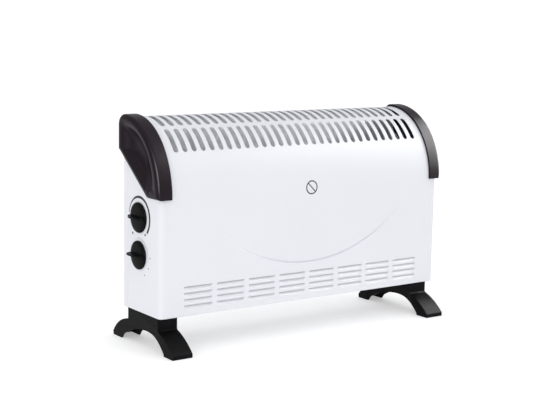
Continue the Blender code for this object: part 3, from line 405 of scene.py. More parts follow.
# Painted shadow: faint grey made with the ink shader, for the selector knob's soft contact shadow
# on the side panel.
PAINTED_KNOB_SHADOW = printing_ink("knob_shadow_paint", (0.42, 0.42, 0.45), (0.50, 0.50, 0.53))
BLACK_ZINC = bright_metal("black_zinc", (0.070, 0.068, 0.072), (0.035, 0.034, 0.036), 0.42,
                          (1.0, 1.0, 0.3))
LAMINATED = laminated_steel("laminated_steel")


# ---------------------------------------------------------------- making pieces

def keep_modifiers(obj):
    """Replace the object's mesh with what its modifiers make of it."""
    depsgraph = bpy.context.evaluated_depsgraph_get()
    mesh = bpy.data.meshes.new_from_object(obj.evaluated_get(depsgraph))
    obj.modifiers.clear()
    old = obj.data
    obj.data = mesh
    bpy.data.meshes.remove(old)


def new_object(name, bm, material):
    """An object from a bmesh in case millimetres, moved to the row frame in metres."""
    bmesh.ops.translate(bm, verts=bm.verts, vec=CASE_ORIGIN)
    bmesh.ops.scale(bm, verts=bm.verts, vec=(MM, MM, MM))
    mesh = bpy.data.meshes.new(name)
    bm.to_mesh(mesh)
    bm.free()
    mesh.materials.append(material)
    obj = bpy.data.objects.new(name, mesh)
    bpy.context.scene.collection.objects.link(obj)
    return obj


def taken_back(obj):
    """The object's mesh as a bmesh in case millimetres; the object is removed."""
    mesh = obj.data
    bm = bmesh.new()
    bm.from_mesh(mesh)
    bpy.data.objects.remove(obj)
    bpy.data.meshes.remove(mesh)
    bmesh.ops.scale(bm, verts=bm.verts, vec=(1 / MM,) * 3)
    bmesh.ops.translate(bm, verts=bm.verts, vec=-CASE_ORIGIN)
    return bm


def bevel_edges(obj, width, segments, angle=40.0, by_weight=False):
    """Add a bevel, on edges sharper than an angle or by their bevel weight."""
    edge = obj.modifiers.new("edges", "BEVEL")
    edge.width = width * MM
    edge.segments = segments
    edge.limit_method = "WEIGHT" if by_weight else "ANGLE"
    edge.angle_limit = math.radians(angle)
    edge.use_clamp_overlap = True


def piece(name, bm, slot, replaces=(), body=HOUSING, material=None, normals=True, sheet=0.0,
          bevel=0.0, bevel_angle=40.0, sharp=38.0):
    """Finish a piece: thickness for sheet metal, bevelled edges, smooth shading, its body, and its
    material, which is MATERIALS[slot] unless one is given.
    """
    if normals:
        bmesh.ops.recalc_face_normals(bm, faces=bm.faces)
    obj = new_object(name, bm, material or MATERIALS[slot])
    if sheet:
        solid = obj.modifiers.new("sheet", "SOLIDIFY")
        solid.thickness = sheet * MM
        solid.offset = -1.0
        solid.use_even_offset = True
    if bevel:
        bevel_edges(obj, bevel, 2, bevel_angle)
    keep_modifiers(obj)
    obj.data.shade_smooth()
    obj.data.set_sharp_from_angle(angle=math.radians(sharp))
    weighted = obj.modifiers.new("normals", "WEIGHTED_NORMAL")
    weighted.keep_sharp = True
    weighted.weight = 100
    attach(obj, body)
    if replaces:
        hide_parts(*replaces)
    return obj


# ---------------------------------------------------------------- shape helpers

class Skin:
    """A mesh built from patches: points at the same place are one vertex."""

    def __init__(self):
        self.bm = bmesh.new()
        self.known = {}

    def at(self, point):
        key = tuple(round(c, 2) + 0.0 for c in point)
        if key not in self.known:
            self.known[key] = self.bm.verts.new(point)
        return self.known[key]

    def face(self, points):
        verts = []
        for point in points:
            vert = self.at(point)
            if vert not in verts:
                verts.append(vert)
        if len(verts) > 2:
            self.bm.faces.new(verts)

    def strip(self, low, high):
        """Quads between two rows of equal length."""
        for i in range(len(low) - 1):
            self.face((low[i], low[i + 1], high[i + 1], high[i]))

    def ring(self, low, high):
        """Quads between two closed loops of equal length."""
        self.strip(low + low[:1], high + high[:1])

    def zip(self, low, high, place=0):
        """Triangles between two rows whose points differ; place is the coordinate along them."""
        i = j = 0
        while i < len(low) - 1 or j < len(high) - 1:
            take_low = j == len(high) - 1 or (
                i < len(low) - 1 and low[i + 1][place] <= high[j + 1][place])
            if take_low:
                self.face((low[i], low[i + 1], high[j]))
                i += 1
            else:
                self.face((low[i], high[j + 1], high[j]))
                j += 1

    def fill(self, loops):
        """Fill a flat region bounded by closed loops of points; inner loops are holes."""
        edges = []
        for loop in loops:
            verts = [self.at(p) for p in loop]
            for a, b in zip(verts, verts[1:] + verts[:1]):
                edge = self.bm.edges.get((a, b)) or self.bm.edges.new((a, b))
                edges.append(edge)
        bmesh.ops.triangle_fill(self.bm, edges=edges, use_beauty=True, use_dissolve=False)


def smooth(share):
    share = min(1.0, max(0.0, share))
    return share * share * (3 - 2 * share)


def lerp(a, b, share):
    return a + (b - a) * share


def row_of(count, pitch):
    return [(i - (count - 1) / 2) * pitch for i in range(count)]


def arc(centre, radius, start, end, steps):
    """Points of an arc in a plane, angles in degrees, both ends included."""
    points = []
    for i in range(steps + 1):
        a = math.radians(lerp(start, end, i / steps))
        points.append((centre[0] + radius * math.cos(a), centre[1] + radius * math.sin(a)))
    return points


def rounded(corners, steps=6):
    """A closed outline with its corners rounded; corners are (u, v, radius)."""
    points = []
    count = len(corners)
    for i, (u, v, radius) in enumerate(corners):
        here = Vector((u, v))
        if radius <= 0:
            points.append((u, v))
            continue
        back = (Vector(corners[i - 1][:2]) - here).normalized()
        ahead = (Vector(corners[(i + 1) % count][:2]) - here).normalized()
        half = back.angle(ahead) / 2
        reach = radius / math.tan(half)
        centre = here + (back + ahead).normalized() * (radius / math.sin(half))
        start = here + back * reach - centre
        end = here + ahead * reach - centre
        turn = start.angle_signed(end)
        for k in range(steps + 1):
            a = -turn * k / steps
            points.append((centre.x + start.x * math.cos(a) - start.y * math.sin(a),
                           centre.y + start.x * math.sin(a) + start.y * math.cos(a)))
    return points


def curve(points, steps):
    """A smooth line through every one of the points."""
    line = []
    last = len(points) - 1
    for i in range(last):
        a, b, c, d = (Vector(points[min(max(i + k, 0), last)]) for k in (-1, 0, 1, 2))
        for step in range(steps):
            t = step / steps
            line.append(tuple(b + (c - a) * (t / 2) + (2 * a - 5 * b + 4 * c - d) * (t * t / 2)
                              + (3 * b - a - 3 * c + d) * (t ** 3 / 2)))
    return line + [tuple(points[-1])]


def along(axis, u, v, w):
    """A point whose coordinate on the named axis is w and whose other two are u and v."""
    return {"X": (w, u, v), "Y": (u, w, v), "Z": (u, v, w)}[axis]


def turned(skin, profile, axis, centre, count, cap_start=True, cap_end=True):
    """Add a turned body: profile is (radius, position along the axis) pairs."""
    loops = []
    for radius, w in profile:
        ring = arc(centre, radius, 0, 360, count)[:-1]
        loops.append([along(axis, u, v, w) for u, v in ring])
    for low, high in zip(loops, loops[1:]):
        skin.ring(low, high)
    if cap_start:
        skin.face(loops[0])
    if cap_end:
        skin.face(loops[-1])


# ---------------------------------------------------------------- front panel

def crown_tables(step=0.25):
    """Length along the curved top for each ellipse angle, in steps."""
    lengths = [0.0]
    for i in range(int(90 / step)):
        a = math.radians((i + 0.5) * step)
        rate = math.hypot(CROWN_A * math.sin(a), CROWN_B * math.cos(a))
        lengths.append(lengths[-1] + rate * math.radians(step))
    return lengths


CROWN_STEP = 0.25
CROWN_LENGTHS = crown_tables(CROWN_STEP)


def crown_length(degrees):
    place = degrees / CROWN_STEP
    low = min(int(place), len(CROWN_LENGTHS) - 2)
    return lerp(CROWN_LENGTHS[low], CROWN_LENGTHS[low + 1], place - low)


def crown_at(length, out=0.0):
    """(y, z) on the curved top at a length from the spring line, moved out by a distance."""
    low, high = 0, len(CROWN_LENGTHS) - 1
    while high - low > 1:
        middle = (low + high) // 2
        if CROWN_LENGTHS[middle] <= length:
            low = middle
        else:
            high = middle
    share = (length - CROWN_LENGTHS[low]) / (CROWN_LENGTHS[high] - CROWN_LENGTHS[low])
    a = math.radians((low + share) * CROWN_STEP)
    normal = Vector((-CROWN_B * math.cos(a), CROWN_A * math.sin(a))).normalized()
    return (CROWN_Y - CROWN_A * math.cos(a) + out * normal.x,
            SPRING_Z + CROWN_B * math.sin(a) + out * normal.y)


def slot_cell(skin, where, half_len, radius, cell_len, cell_wid, sides=8, ends=8):
    """A rectangle with a round-ended slot in it; where(l, w) places a point of the cell.

    cell_len is (start, end) of the cell along the slot, measured from the slot's middle."""
    straight = half_len - radius
    outer, inner = [], []
    for end, limit in ((1, cell_len[1]), (-1, cell_len[0])):
        quarter = lerp(end * straight, limit, 0.5)
        edge = [(end * straight, 1), (quarter, 1), (limit, 1), (limit, 0.5), (limit, 0),
                (limit, -0.5), (limit, -1), (quarter, -1), (end * straight, -1)]
        for i in range(ends + 1):
            a = math.radians(180 * i / ends)
            inner.append((end * (straight + radius * math.sin(a)), end * radius * math.cos(a)))
            length, width = edge[i]
            outer.append((length, end * width * cell_wid))
        for i in range(1, sides):
            length = end * lerp(straight, -straight, i / sides)
            inner.append((length, -end * radius))
            outer.append((length, -end * cell_wid))
    skin.ring([where(*p) for p in outer], [where(*p) for p in inner])


def slot_side_stations(half_len, radius, cell_len, sides=8):
    """Where the long side of a slot cell has its points, from its start to its end."""
    straight = half_len - radius
    stations = [cell_len[0], lerp(-straight, cell_len[0], 0.5)]
    stations += [lerp(-straight, straight, i / sides) for i in range(sides + 1)]
    stations += [lerp(straight, cell_len[1], 0.5), cell_len[1]]
    return stations


def crease_line(x):
    """Height and slope of the pressed crease: an arc that levels out towards the sides."""
    u = abs(x - CREASE_X)
    reach = min(u, CREASE_TURN)
    fall = math.sqrt(CREASE_R ** 2 - reach ** 2)
    slope = reach / fall
    over = min(u - reach, CREASE_LEVEL)
    height = CREASE_CENTRE_Z - fall + slope * over - slope * over ** 2 / (2 * CREASE_LEVEL)
    return height, slope * (1 - over / CREASE_LEVEL)


def crease_rise(x, z):
    """How far the front stands out of its plane at a place, because of the crease."""
    line, slope = crease_line(x)
    distance = (z - line) / math.sqrt(1 + slope ** 2)
    step = smooth((distance + CREASE_HALF_W) / (2 * CREASE_HALF_W))
    fade = 1 - smooth((z - line) / (SPRING_Z - line))
    ends = 1 - smooth((abs(x - CREASE_X) - CREASE_FULL) / (CREASE_END - CREASE_FULL))
    groove = CREASE_GROOVE * math.exp(-(distance / CREASE_GROOVE_W) ** 2)
    return (CREASE_RISE * step * fade - groove * lerp(0.35, 1.0, smooth((x + 170) / 150))) * ends


def front_at(x, z):
    return (x, -HALF_D - crease_rise(x, z), z)


def louvre_stations():
    """X of the points of a row across the louvre field."""
    stations = []
    for centre in row_of(LOUVRE_GROUPS, LOUVRE_PITCH):
        stations += [centre + u * LOUVRE_HALF_W for u in louvre_shares()]
    middle = (LOUVRE_GROUPS - 1) / 2 * LOUVRE_PITCH + LOUVRE_PITCH / 2
    edge = [middle, (middle + FLAT_HALF_W) / 2, FLAT_HALF_W]
    gaps = [(i - LOUVRE_GROUPS / 2) * LOUVRE_PITCH for i in range(LOUVRE_GROUPS + 1)]
    return sorted(set(stations + gaps + edge + [-x for x in edge]))


def louvre_shares(count=22):
    """Shares of the half width, closer together near the ends."""
    return [math.sin(math.radians(lerp(-90, 90, i / count))) for i in range(count + 1)]


def press_louvre(skin, centre, top):
    """One pressed-in louvre: a curved tongue, open along its top edge."""
    rows = []
    steps = 6
    for k in range(steps + 1):
        share = k / steps
        row = []
        for u in louvre_shares():
            form = max(0.0, 1 - abs(u) ** 12)
            low = top - LOUVRE_HEIGHT * math.sqrt(form)
            depth = LOUVRE_DEPTH * form ** 0.5 * share
            row.append((centre + u * LOUVRE_HALF_W, -HALF_D + depth, lerp(low, top, share)))
        rows.append(row)
    for low, high in zip(rows, rows[1:]):
        skin.strip(low, high)
    return rows[0]


def louvre_field(skin, stations):
    """The band of louvres; returns the row of points along its top."""
    tops = [LOUVRE_TOP_Z - i * LOUVRE_ROW_PITCH for i in reversed(range(LOUVRE_ROWS))]
    below = [(x, -HALF_D, tops[0] - LOUVRE_ROW_PITCH) for x in stations]
    first = below
    for top in tops:
        line = [(x, -HALF_D, top) for x in stations]
        tongues = {}
        for centre in row_of(LOUVRE_GROUPS, LOUVRE_PITCH):
            for point in press_louvre(skin, centre, top):
                tongues[round(point[0], 3)] = point
        edge = [tongues.get(round(x, 3), (x, -HALF_D, top)) for x in stations]
        skin.strip(below, edge)
        below = line
    return first, below


def top_stations():
    """X of the points of a row across the outlet slots."""
    half = SLOTS_PER_ROW * SLOT_PITCH / 2
    inner = [-half + i * SLOT_PITCH / 4 for i in range(SLOTS_PER_ROW * 4 + 1)]
    edge = [half + 7, half + 15, FLAT_HALF_W]
    return [-x for x in reversed(edge)] + inner + edge


def outlet_rows(skin, stations):
    """Both rows of outlet slots and the plain strips beside them; returns the last length used."""
    half = SLOTS_PER_ROW * SLOT_PITCH / 2
    limits = [crown_length(33.5), crown_length(61.5), crown_length(90)]
    for (start, end), low, high in zip(SLOT_ROWS_DEG, limits, limits[1:]):
        first, last = crown_length(start), crown_length(end)
        middle = (first + last) / 2
        half_len = (last - first) / 2
        cell = (low - middle, high - middle)

        def place(x):
            return lambda l, w: (x + w, *crown_at(middle + l))

        for x in row_of(SLOTS_PER_ROW, SLOT_PITCH):
            slot_cell(skin, place(x), half_len, SLOT_R, cell, SLOT_PITCH / 2)
        rows = slot_side_stations(half_len, SLOT_R, cell)
        for side in (LEFT, RIGHT):
            xs = [x for x in stations if side * x >= half - 0.01]
            lines = [[(x, *crown_at(middle + l)) for x in xs] for l in rows]
            for a, b in zip(lines, lines[1:]):
                skin.strip(a, b)


def corner_and_wing(skin, side):
    """The rounded vertical corner and the side wing, hung on the edge of the front."""
    edge_x = side * FLAT_HALF_W
    edge = sorted({key[2] for key in skin.known
                   if abs(key[0] - edge_x) < 0.01 and key[1] < -HALF_D + 0.5
                   and BOTTOM + HEM_R - 0.01 <= key[2] <= SHOULDER_Z + 0.01})
    columns = []
    for x, y in arc((FLAT_HALF_W, -HALF_D + CORNER_R), CORNER_R, -90, 0, 8):
        columns.append([(side * x, y, z) for z in edge])
    columns[0] = [next(k for k in skin.known if abs(k[0] - edge_x) < 0.01 and k[2] == z
                       and k[1] < -HALF_D + 0.5) for z in edge]
    for a, b in zip(columns, columns[1:]):
        skin.strip(a, b)
    x = side * HALF_W
    outline = columns[-1] + [(x, y, z) for y, z in (
        (-46, 274), (-28, 274), (-20, 265), (SEAM_Y, 313))]
    outline += [(x, SEAM_Y, BOTTOM + HEM_R)]
    holes = []
    if side == LEFT:
        for name in ("thermostat_shaft", "selector_shaft"):
            low, high = case_box(name)
            middle = (low + high) / 2
            holes.append([(x, y, z) for y, z in arc((middle.y, middle.z), 4.0, 0, 360, 24)[:-1]])
    low, high = case_box("cap_screw_left")
    holes.append([(x, y, z) for y, z in arc(((low.y + high.y) / 2, (low.z + high.z) / 2), 2.0,
                                            0, 360, 16)[:-1]])
    skin.fill([outline] + holes)


def plan_path(stations):
    """The case's outline in plan from seam to seam, as (x, y, outward x, outward y)."""
    path = []
    for side in (LEFT, RIGHT):
        corner = arc((FLAT_HALF_W, -HALF_D + CORNER_R), CORNER_R, 0, -90, 8)
        turns = arc((0, 0), 1.0, 0, -90, 8)
        part = [(side * HALF_W, SEAM_Y, side, 0.0)]
        part += [(side * x, y, side * nx, ny) for (x, y), (nx, ny) in zip(corner, turns)]
        path.append(part)
    middle = [(x, -HALF_D, 0.0, -1.0) for x in stations[1:-1]]
    return path[0] + middle + path[1][::-1]


def front_panel():
    """The whole front pressing, as one skin thickened inwards."""
    skin = Skin()
    low_stations = louvre_stations()
    stations = top_stations()
    first, last = louvre_field(skin, low_stations)
    path = plan_path(low_stations)
    rows = []
    for degrees in (90, 67.5, 45, 22.5, 0):
        a = math.radians(degrees)
        inset = HEM_R * (1 - math.cos(a))
        z = BOTTOM + HEM_R * (1 - math.sin(a))
        rows.append([(x - nx * inset, y - ny * inset, z) for x, y, nx, ny in path])
    for a, b in zip(rows, rows[1:]):
        skin.strip(a, b)
    skin.strip([(x, -HALF_D, BOTTOM + HEM_R) for x in low_stations], first)

    rows = []
    for share in (0.0, 0.35, 0.7):
        rows.append(lambda x, s=share: lerp(LOUVRE_TOP_Z + 4, crease_line(x)[0] - 4, s))
    for offset in (-3.4, -2.4, -1.8, -1.2, -0.6, 0, 0.6, 1.2, 1.8, 2.4, 3.4, 5, 9):
        rows.append(lambda x, o=offset: (
            crease_line(x)[0] + o * math.sqrt(1 + crease_line(x)[1] ** 2)))
    for share in (0.2, 0.4, 0.6, 0.8, 1.0):
        rows.append(lambda x, s=share: lerp(crease_line(x)[0] + 9, SPRING_Z, s)
                    if s < 1 else SPRING_Z)
    lines = [[front_at(x, row(x)) for x in stations] for row in rows]
    skin.zip(last, lines[0])
    for a, b in zip(lines, lines[1:]):
        skin.strip(a, b)

    shoulder = crown_length(math.degrees(math.asin((SHOULDER_Z - SPRING_Z) / CROWN_B)))
    start = crown_length(33.5)
    lengths = [0, shoulder] + [lerp(shoulder, start, i / 9) for i in range(1, 10)]
    lines = [[(x, *crown_at(length)) for x in stations] for length in lengths]
    for a, b in zip(lines, lines[1:]):
        skin.strip(a, b)
    outlet_rows(skin, stations)
    bend = [(CROWN_Y, CROWN_Z)]
    bend += [(y, z) for y, z in arc((CROWN_Y, CROWN_Z - REAR_BEND_R), REAR_BEND_R, 90, 0, 6)[1:]]
    bend.append((HALF_D, REAR_LIP_Z))
    lines = [[(x, y, z) for x in stations] for y, z in bend]
    for a, b in zip(lines, lines[1:]):
        skin.strip(a, b)
    for side in (LEFT, RIGHT):
        corner_and_wing(skin, side)
    bmesh.ops.recalc_face_normals(skin.bm, faces=skin.bm.faces)
    face_outwards(skin.bm, lambda c: c.y < -HALF_D + 1 and c.z > 150, Vector((0, -1, 0)))
    return piece("front_panel_skin", skin.bm, "white_enamel", ("front_panel",), normals=False,
                 sheet=SHEET, bevel=0.22, bevel_angle=58.0, sharp=30.0)


def face_outwards(bm, chosen, outward):
    """Flip every face if the ones chosen by their middle don't look outward."""
    score = 0.0
    for face in bm.faces:
        if chosen(face.calc_center_median()):
            score += face.normal.dot(outward) * face.calc_area()
    if score < 0:
        bmesh.ops.reverse_faces(bm, faces=bm.faces)


# ---------------------------------------------------------------- Booleans

def boolean(obj, bm, operation):
    """Cut or join obj with a bmesh given in case millimetres."""
    bmesh.ops.recalc_face_normals(bm, faces=bm.faces)
    tool = new_object("tool", bm, obj.data.materials[0])
    modifier = obj.modifiers.new("tool", "BOOLEAN")
    modifier.operation = operation
    modifier.solver = "EXACT"
    modifier.object = tool
    keep_modifiers(obj)
    mesh = tool.data
    bpy.data.objects.remove(tool)
    bpy.data.meshes.remove(mesh)


def shaped(name, bm, slot, tools, **finish):
    """A piece that is cut or joined with other shapes before its edges are finished."""
    bmesh.ops.recalc_face_normals(bm, faces=bm.faces)
    draft = new_object("draft", bm, MATERIALS[slot])
    for operation, tool in tools:
        boolean(draft, tool, operation)
    bm = taken_back(draft)
    bmesh.ops.remove_doubles(bm, verts=bm.verts, dist=0.002)
    bmesh.ops.dissolve_degenerate(bm, edges=bm.edges, dist=0.002)
    return piece(name, bm, slot, **finish)


def drill(axis, centre, steps, count=32):
    """A stepped round cutter; steps are (radius, position) pairs."""
    skin = Skin()
    turned(skin, steps, axis, centre, count)
    return skin.bm


def slab(outline, x_low, x_high):
    """A closed body: an outline in (y, z) carried across from one x to another."""
    skin = Skin()
    ends = [[(x, y, z) for y, z in outline] for x in (x_low, x_high)]
    skin.ring(*ends)
    for end in ends:
        skin.face(end)
    return skin.bm


def block(low, high):
    """A closed box between two corners."""
    skin = Skin()
    corners = [(low[0], low[1]), (high[0], low[1]), (high[0], high[1]), (low[0], high[1])]
    ends = [[(x, y, z) for x, y in corners] for z in (low[2], high[2])]
    skin.ring(*ends)
    for end in ends:
        skin.face(end)
    return skin.bm


# ---------------------------------------------------------------- end caps

CAP_OFFSET = 4.5
CAP_LIP_T = 3.8
LIP_STEP = CAP_LIP_T + 0.8
CAP_EDGE_R = 6.0
CAP_EDGE_INSET = 8.5
CAP_BACK_R = 18.0
CAP_FOOT_Y = -24.0
CAP_FOOT_R = 9.0
GRIP = (15.0, 322.0)
CAP_WALL = 2.6
# Depth of the hand grip below the cap's face, by share of the way out from its middle
GRIP_DEPTHS = ((0.97, 0.1), (0.93, 0.35), (0.89, 0.8), (0.85, 1.5), (0.81, 2.5), (0.77, 3.7),
               (0.73, 5.1), (0.68, 6.9), (0.62, 9.0), (0.55, 11.2), (0.47, 13.0), (0.38, 14.2),
               (0.28, 14.9), (0.18, 15.1), (0.08, 15.1))


def inset(outline, distance):
    """A closed outline, counter-clockwise or clockwise, moved in by a distance."""
    middle = Vector((sum(u for u, _ in outline), sum(v for _, v in outline))) / len(outline)
    count = len(outline)
    moved = []
    for i, (u, v) in enumerate(outline):
        here = Vector((u, v))
        tangent = Vector(outline[(i + 1) % count]) - Vector(outline[i - 1])
        normal = Vector((-tangent.y, tangent.x)).normalized()
        before = (here - Vector(outline[i - 1])).normalized()
        cosine = max(0.5, abs(normal.x * -before.y + normal.y * before.x))
        if normal.dot(middle - here) < 0:
            normal = -normal
        moved.append(tuple(here + normal * distance / cosine))
    return moved


def cap_outline():
    """Edge of an end cap as (y, z, lip); lip is True where it wraps over the case."""
    low, high = case_box("left_end_cap")
    front, back, bottom, top = low.y, high.y, low.z, high.z
    back_low = 326.0
    points = [(front, bottom, True)]
    whole = crown_length(90)
    for i in range(44):
        y, z = crown_at(whole * 0.975 * i / 43, CAP_OFFSET)
        if z > bottom + CAP_EDGE_INSET + 1:
            points.append((y, z, True))
    for y, z in arc((back - CAP_BACK_R, top - CAP_BACK_R), CAP_BACK_R, 90, 0, 14):
        points.append((y, z, True))
    points += [(back, lerp(top - CAP_BACK_R, back_low, s), True) for s in (0.33, 0.66, 1.0)]

    def slope(share):
        return lerp(back, CAP_FOOT_Y, share), lerp(back_low, bottom, share)

    points.append((*slope(LIP_STEP / (back - CAP_FOOT_Y)), False))
    points += [(*slope(s), False) for s in (0.15, 0.3, 0.45, 0.6, 0.75, 0.85)]
    foot = rounded([(*slope(0.9), 0), (CAP_FOOT_Y, bottom, CAP_FOOT_R),
                    (CAP_FOOT_Y - 15, bottom, 0)])
    points += [(y, z, False) for y, z in foot]
    points += [(lerp(CAP_FOOT_Y - 15, front + LIP_STEP, s), bottom, False)
               for s in (0.4, 0.75, 1.0)]
    lip_end = slope(CAP_LIP_T / (back - CAP_FOOT_Y))
    return points, (front + CAP_LIP_T, bottom), lip_end


def toward_grip(outline, share):
    return [(GRIP[0] + (y - GRIP[0]) * share, GRIP[1] + (z - GRIP[1]) * share) for y, z in outline]


def end_cap(side):
    name = ("left" if side == LEFT else "right") + "_end_cap"
    low, high = case_box(name)
    lip = min(abs(low.x), abs(high.x))
    face = max(abs(low.x), abs(high.x))
    points, first_inner, last_inner = cap_outline()
    outer = [(y, z) for y, z, _ in points]
    inner = inset(outer, CAP_LIP_T)
    lip_edge = list(inner)
    lip_edge[0] = first_inner
    lip_edge[max(i for i, point in enumerate(points) if point[2])] = last_inner
    wall = HALF_W + 0.3
    lip_x = [lip if is_lip else wall for _, _, is_lip in points]
    count = len(points)
    skins = [(lip_edge, lip_x), (outer, lip_x), (outer, [face - CAP_EDGE_R] * count)]
    for degrees in (15, 30, 45, 60, 75, 90):
        a = math.radians(degrees)
        skins.append((inset(outer, CAP_EDGE_INSET * (1 - math.cos(a))),
                      [face - CAP_EDGE_R * (1 - math.sin(a))] * count))
    rim = inset(outer, CAP_EDGE_INSET)
    for share, depth in GRIP_DEPTHS:
        skins.append((toward_grip(rim, share), [face - depth] * count))
    floor_row = len(skins) - 1
    for share, depth in reversed(GRIP_DEPTHS):
        if depth < face - wall - CAP_WALL or share < 0.1:
            continue
        skins.append((toward_grip(rim, share + 0.035),
                      [min(wall, face - depth - CAP_WALL)] * count))
    skins.append((toward_grip(rim, 0.76), [wall] * count))
    skins.append((inner, [wall] * count))
    skin = Skin()
    loops = [[(side * x, y, z) for (y, z), x in zip(loop, xs)] for loop, xs in skins]
    for i, loop in enumerate(loops):
        if i == floor_row:
            for end in (loop, loops[i + 1]):
                middle = sum((Vector(p) for p in end), Vector()) / count
                for a, b in zip(end, end[1:] + end[:1]):
                    skin.face((a, b, middle))
        else:
            skin.ring(loop, loops[(i + 1) % len(loops)])
    low, high = case_box("cap_screw_" + name.split("_")[0])
    centre = ((low.y + high.y) / 2, (low.z + high.z) / 2)
    seat = side * (face - 2.3)
    bore = drill("X", centre, [(2.0, side * (HALF_W - 9)), (2.0, seat), (3.8, seat),
                               (3.9, side * (face + 3))])
    return shaped(name + "_moulding", skin.bm, "plum_plastic", [("DIFFERENCE", bore)],
                  replaces=(name,), bevel=0.45, bevel_angle=50.0, sharp=34.0)


# ---------------------------------------------------------------- feet

FOOT_TOP = 59.7
FOOT_WALL = 3.0
FOOT_SEAT_Z = 40.0
FOOT_HEAD_R = 5.5
FOOT_BORE_R = 2.4
FOOT_TOE_BEVEL = 4.2


def foot_outline():
    """Side view of a foot in (y, z): block, two toes and one long arch."""
    low, high = case_box("left_foot")
    front, rear = low.y, high.y
    outline = rounded([(52.5, FOOT_TOP, 0), (-46, FOOT_TOP, 0), (-46, 37, 3.2), (-50, 35.4, 0)], 5)
    for i in range(1, 15):
        t = i / 14
        outline.append((lerp(lerp(-50, -74, t), lerp(-74, front + 0.8, t), t),
                        lerp(lerp(35.4, 27, t), lerp(27, 7.6, t), t)))
    outline += [(front, 6.2), (front, 0.6), (front + 0.6, 0), (-66.6, 0)]
    outline += curve([(-66, 0.6), (-64.8, 4), (-56.5, 12.5), (-45, 21.4), (-31, 27.8), (-14, 30.2),
                      (4, 29.4), (24, 26), (45.7, 19.5), (60, 13.2), (70, 7.6), (75.5, 0.6)], 4)
    outline += [(76.2, 0), (rear - 2.1, 0), (rear - 1.5, 0.6), (rear, 6)]
    for i in range(1, 13):
        t = i / 12
        outline.append((lerp(lerp(rear, 88, t), lerp(88, 52.5, t), t),
                        lerp(lerp(6, 33, t), lerp(33, 38.5, t), t)))
    return outline


def foot_pocket():
    """Side view of the hollow under a foot."""
    floor = -1.0
    return rounded([(-90.5, floor, 0), (-90.5, 5.5, 1), (-75.8, 16.3, 40), (-60, 26.8, 30),
                    (-47, 32.8, 6), (-40, 36, 2), (48, 36, 4), (64, 32.4, 12), (76.5, 27.6, 12),
                    (87.8, 20.8, 12), (96.8, 12.6, 8), (101.5, 4.8, 2), (101.5, floor, 0)], 4)


def foot(side):
    name = ("left" if side == LEFT else "right") + "_foot"
    low, high = case_box(name)
    solid = slab(foot_outline(), low.x, high.x)
    pocket = slab(foot_pocket(), low.x + FOOT_WALL, high.x - FOOT_WALL)
    bores = [("DIFFERENCE", pocket)]
    for number in (1, 2, 3, 4):
        screw_low, screw_high = case_box(f"foot_screw_{number}")
        x, y = (screw_low.x + screw_high.x) / 2, (screw_low.y + screw_high.y) / 2
        if low.x < x < high.x:
            steps = [(FOOT_HEAD_R, -1), (FOOT_HEAD_R, FOOT_SEAT_Z), (FOOT_BORE_R, FOOT_SEAT_Z),
                     (FOOT_BORE_R, FOOT_TOP + 10)]
            bores.append(("DIFFERENCE", drill("Z", (x, y), steps)))
    bmesh.ops.recalc_face_normals(solid, faces=solid.faces)
    weigh_foot_edges(solid, low.y)
    draft = new_object("draft", solid, MATERIALS["black_plastic"])
    bevel_edges(draft, FOOT_TOE_BEVEL, 5, by_weight=True)
    keep_modifiers(draft)
    return shaped(name + "_moulding", taken_back(draft), "black_plastic", bores, replaces=(name,),
                  sharp=30.0)


def weigh_foot_edges(bm, front):
    """Full bevel weight along the tops of both toes, and little on the foot's other long edges."""
    layer = bm.edges.layers.float.new("bevel_weight_edge")
    for edge in bm.edges:
        a, b = (v.co for v in edge.verts)
        if len(edge.link_faces) < 2 or abs(a.x - b.x) > 0.01 or edge.calc_face_angle(0) < 0.6:
            continue
        middle = (a + b) / 2
        on_toe = middle.y < -50 and middle.z > 7.0 and middle.z > 35.4 + (middle.y + 50) * 0.72
        on_heel = middle.y > 56 and middle.z > 6.0 and middle.z > 0.7 * (front - middle.y + 250)
        edge[layer] = 1.0 if on_toe or on_heel else 0.24


# ---------------------------------------------------------------- screws and gland

def screw(node, axis, direction, head_r, head_h, shank_r, material=None):
    """Pan-head screw, cross recess and threaded shank; direction is the way its head looks."""
    low, high = case_box(node)
    middle = (low + high) / 2
    index = "XYZ".index(axis)
    centre = tuple(c for i, c in enumerate(middle) if i != index)
    ends = sorted((low[index], high[index]), key=lambda w: direction * w)
    seat = ends[1] - direction * head_h
    length = abs(seat - ends[0])
    profile = [(0.3, length), (shank_r * 0.7, length - shank_r)]
    turns = int((length - shank_r) / 1.2)
    for i in reversed(range(1, turns)):
        profile += [(shank_r, i * 1.2), (shank_r * 0.78, i * 1.2 - 0.6)]
    profile = [(r, -h) for r, h in profile] + [(shank_r, 0), (head_r - 0.15, 0), (head_r, 0.15)]
    for degrees in range(0, 91, 15):
        a = math.radians(degrees)
        profile.append((0.35 * head_r + 0.65 * head_r * math.cos(a),
                        head_h * (0.35 + 0.65 * math.sin(a))))
    skin = Skin()
    turned(skin, [(r, seat + direction * h) for r, h in profile], axis, centre, 28)
    tools = []
    arm, half, depth = head_r * 0.55, head_r * 0.13, head_h * 0.75
    for long, short in ((arm, half), (half, arm)):
        u = (centre[0] - long, centre[0] + long)
        v = (centre[1] - short, centre[1] + short)
        w = sorted((ends[1] - direction * depth, ends[1] + direction * 1.0))
        tools.append(("DIFFERENCE", block(along(axis, u[0], v[0], w[0]),
                                          along(axis, u[1], v[1], w[1]))))
    return shaped(node + "_turned", skin.bm, "zinc_screw", tools, replaces=(node,), sharp=32.0,
                  material=material)


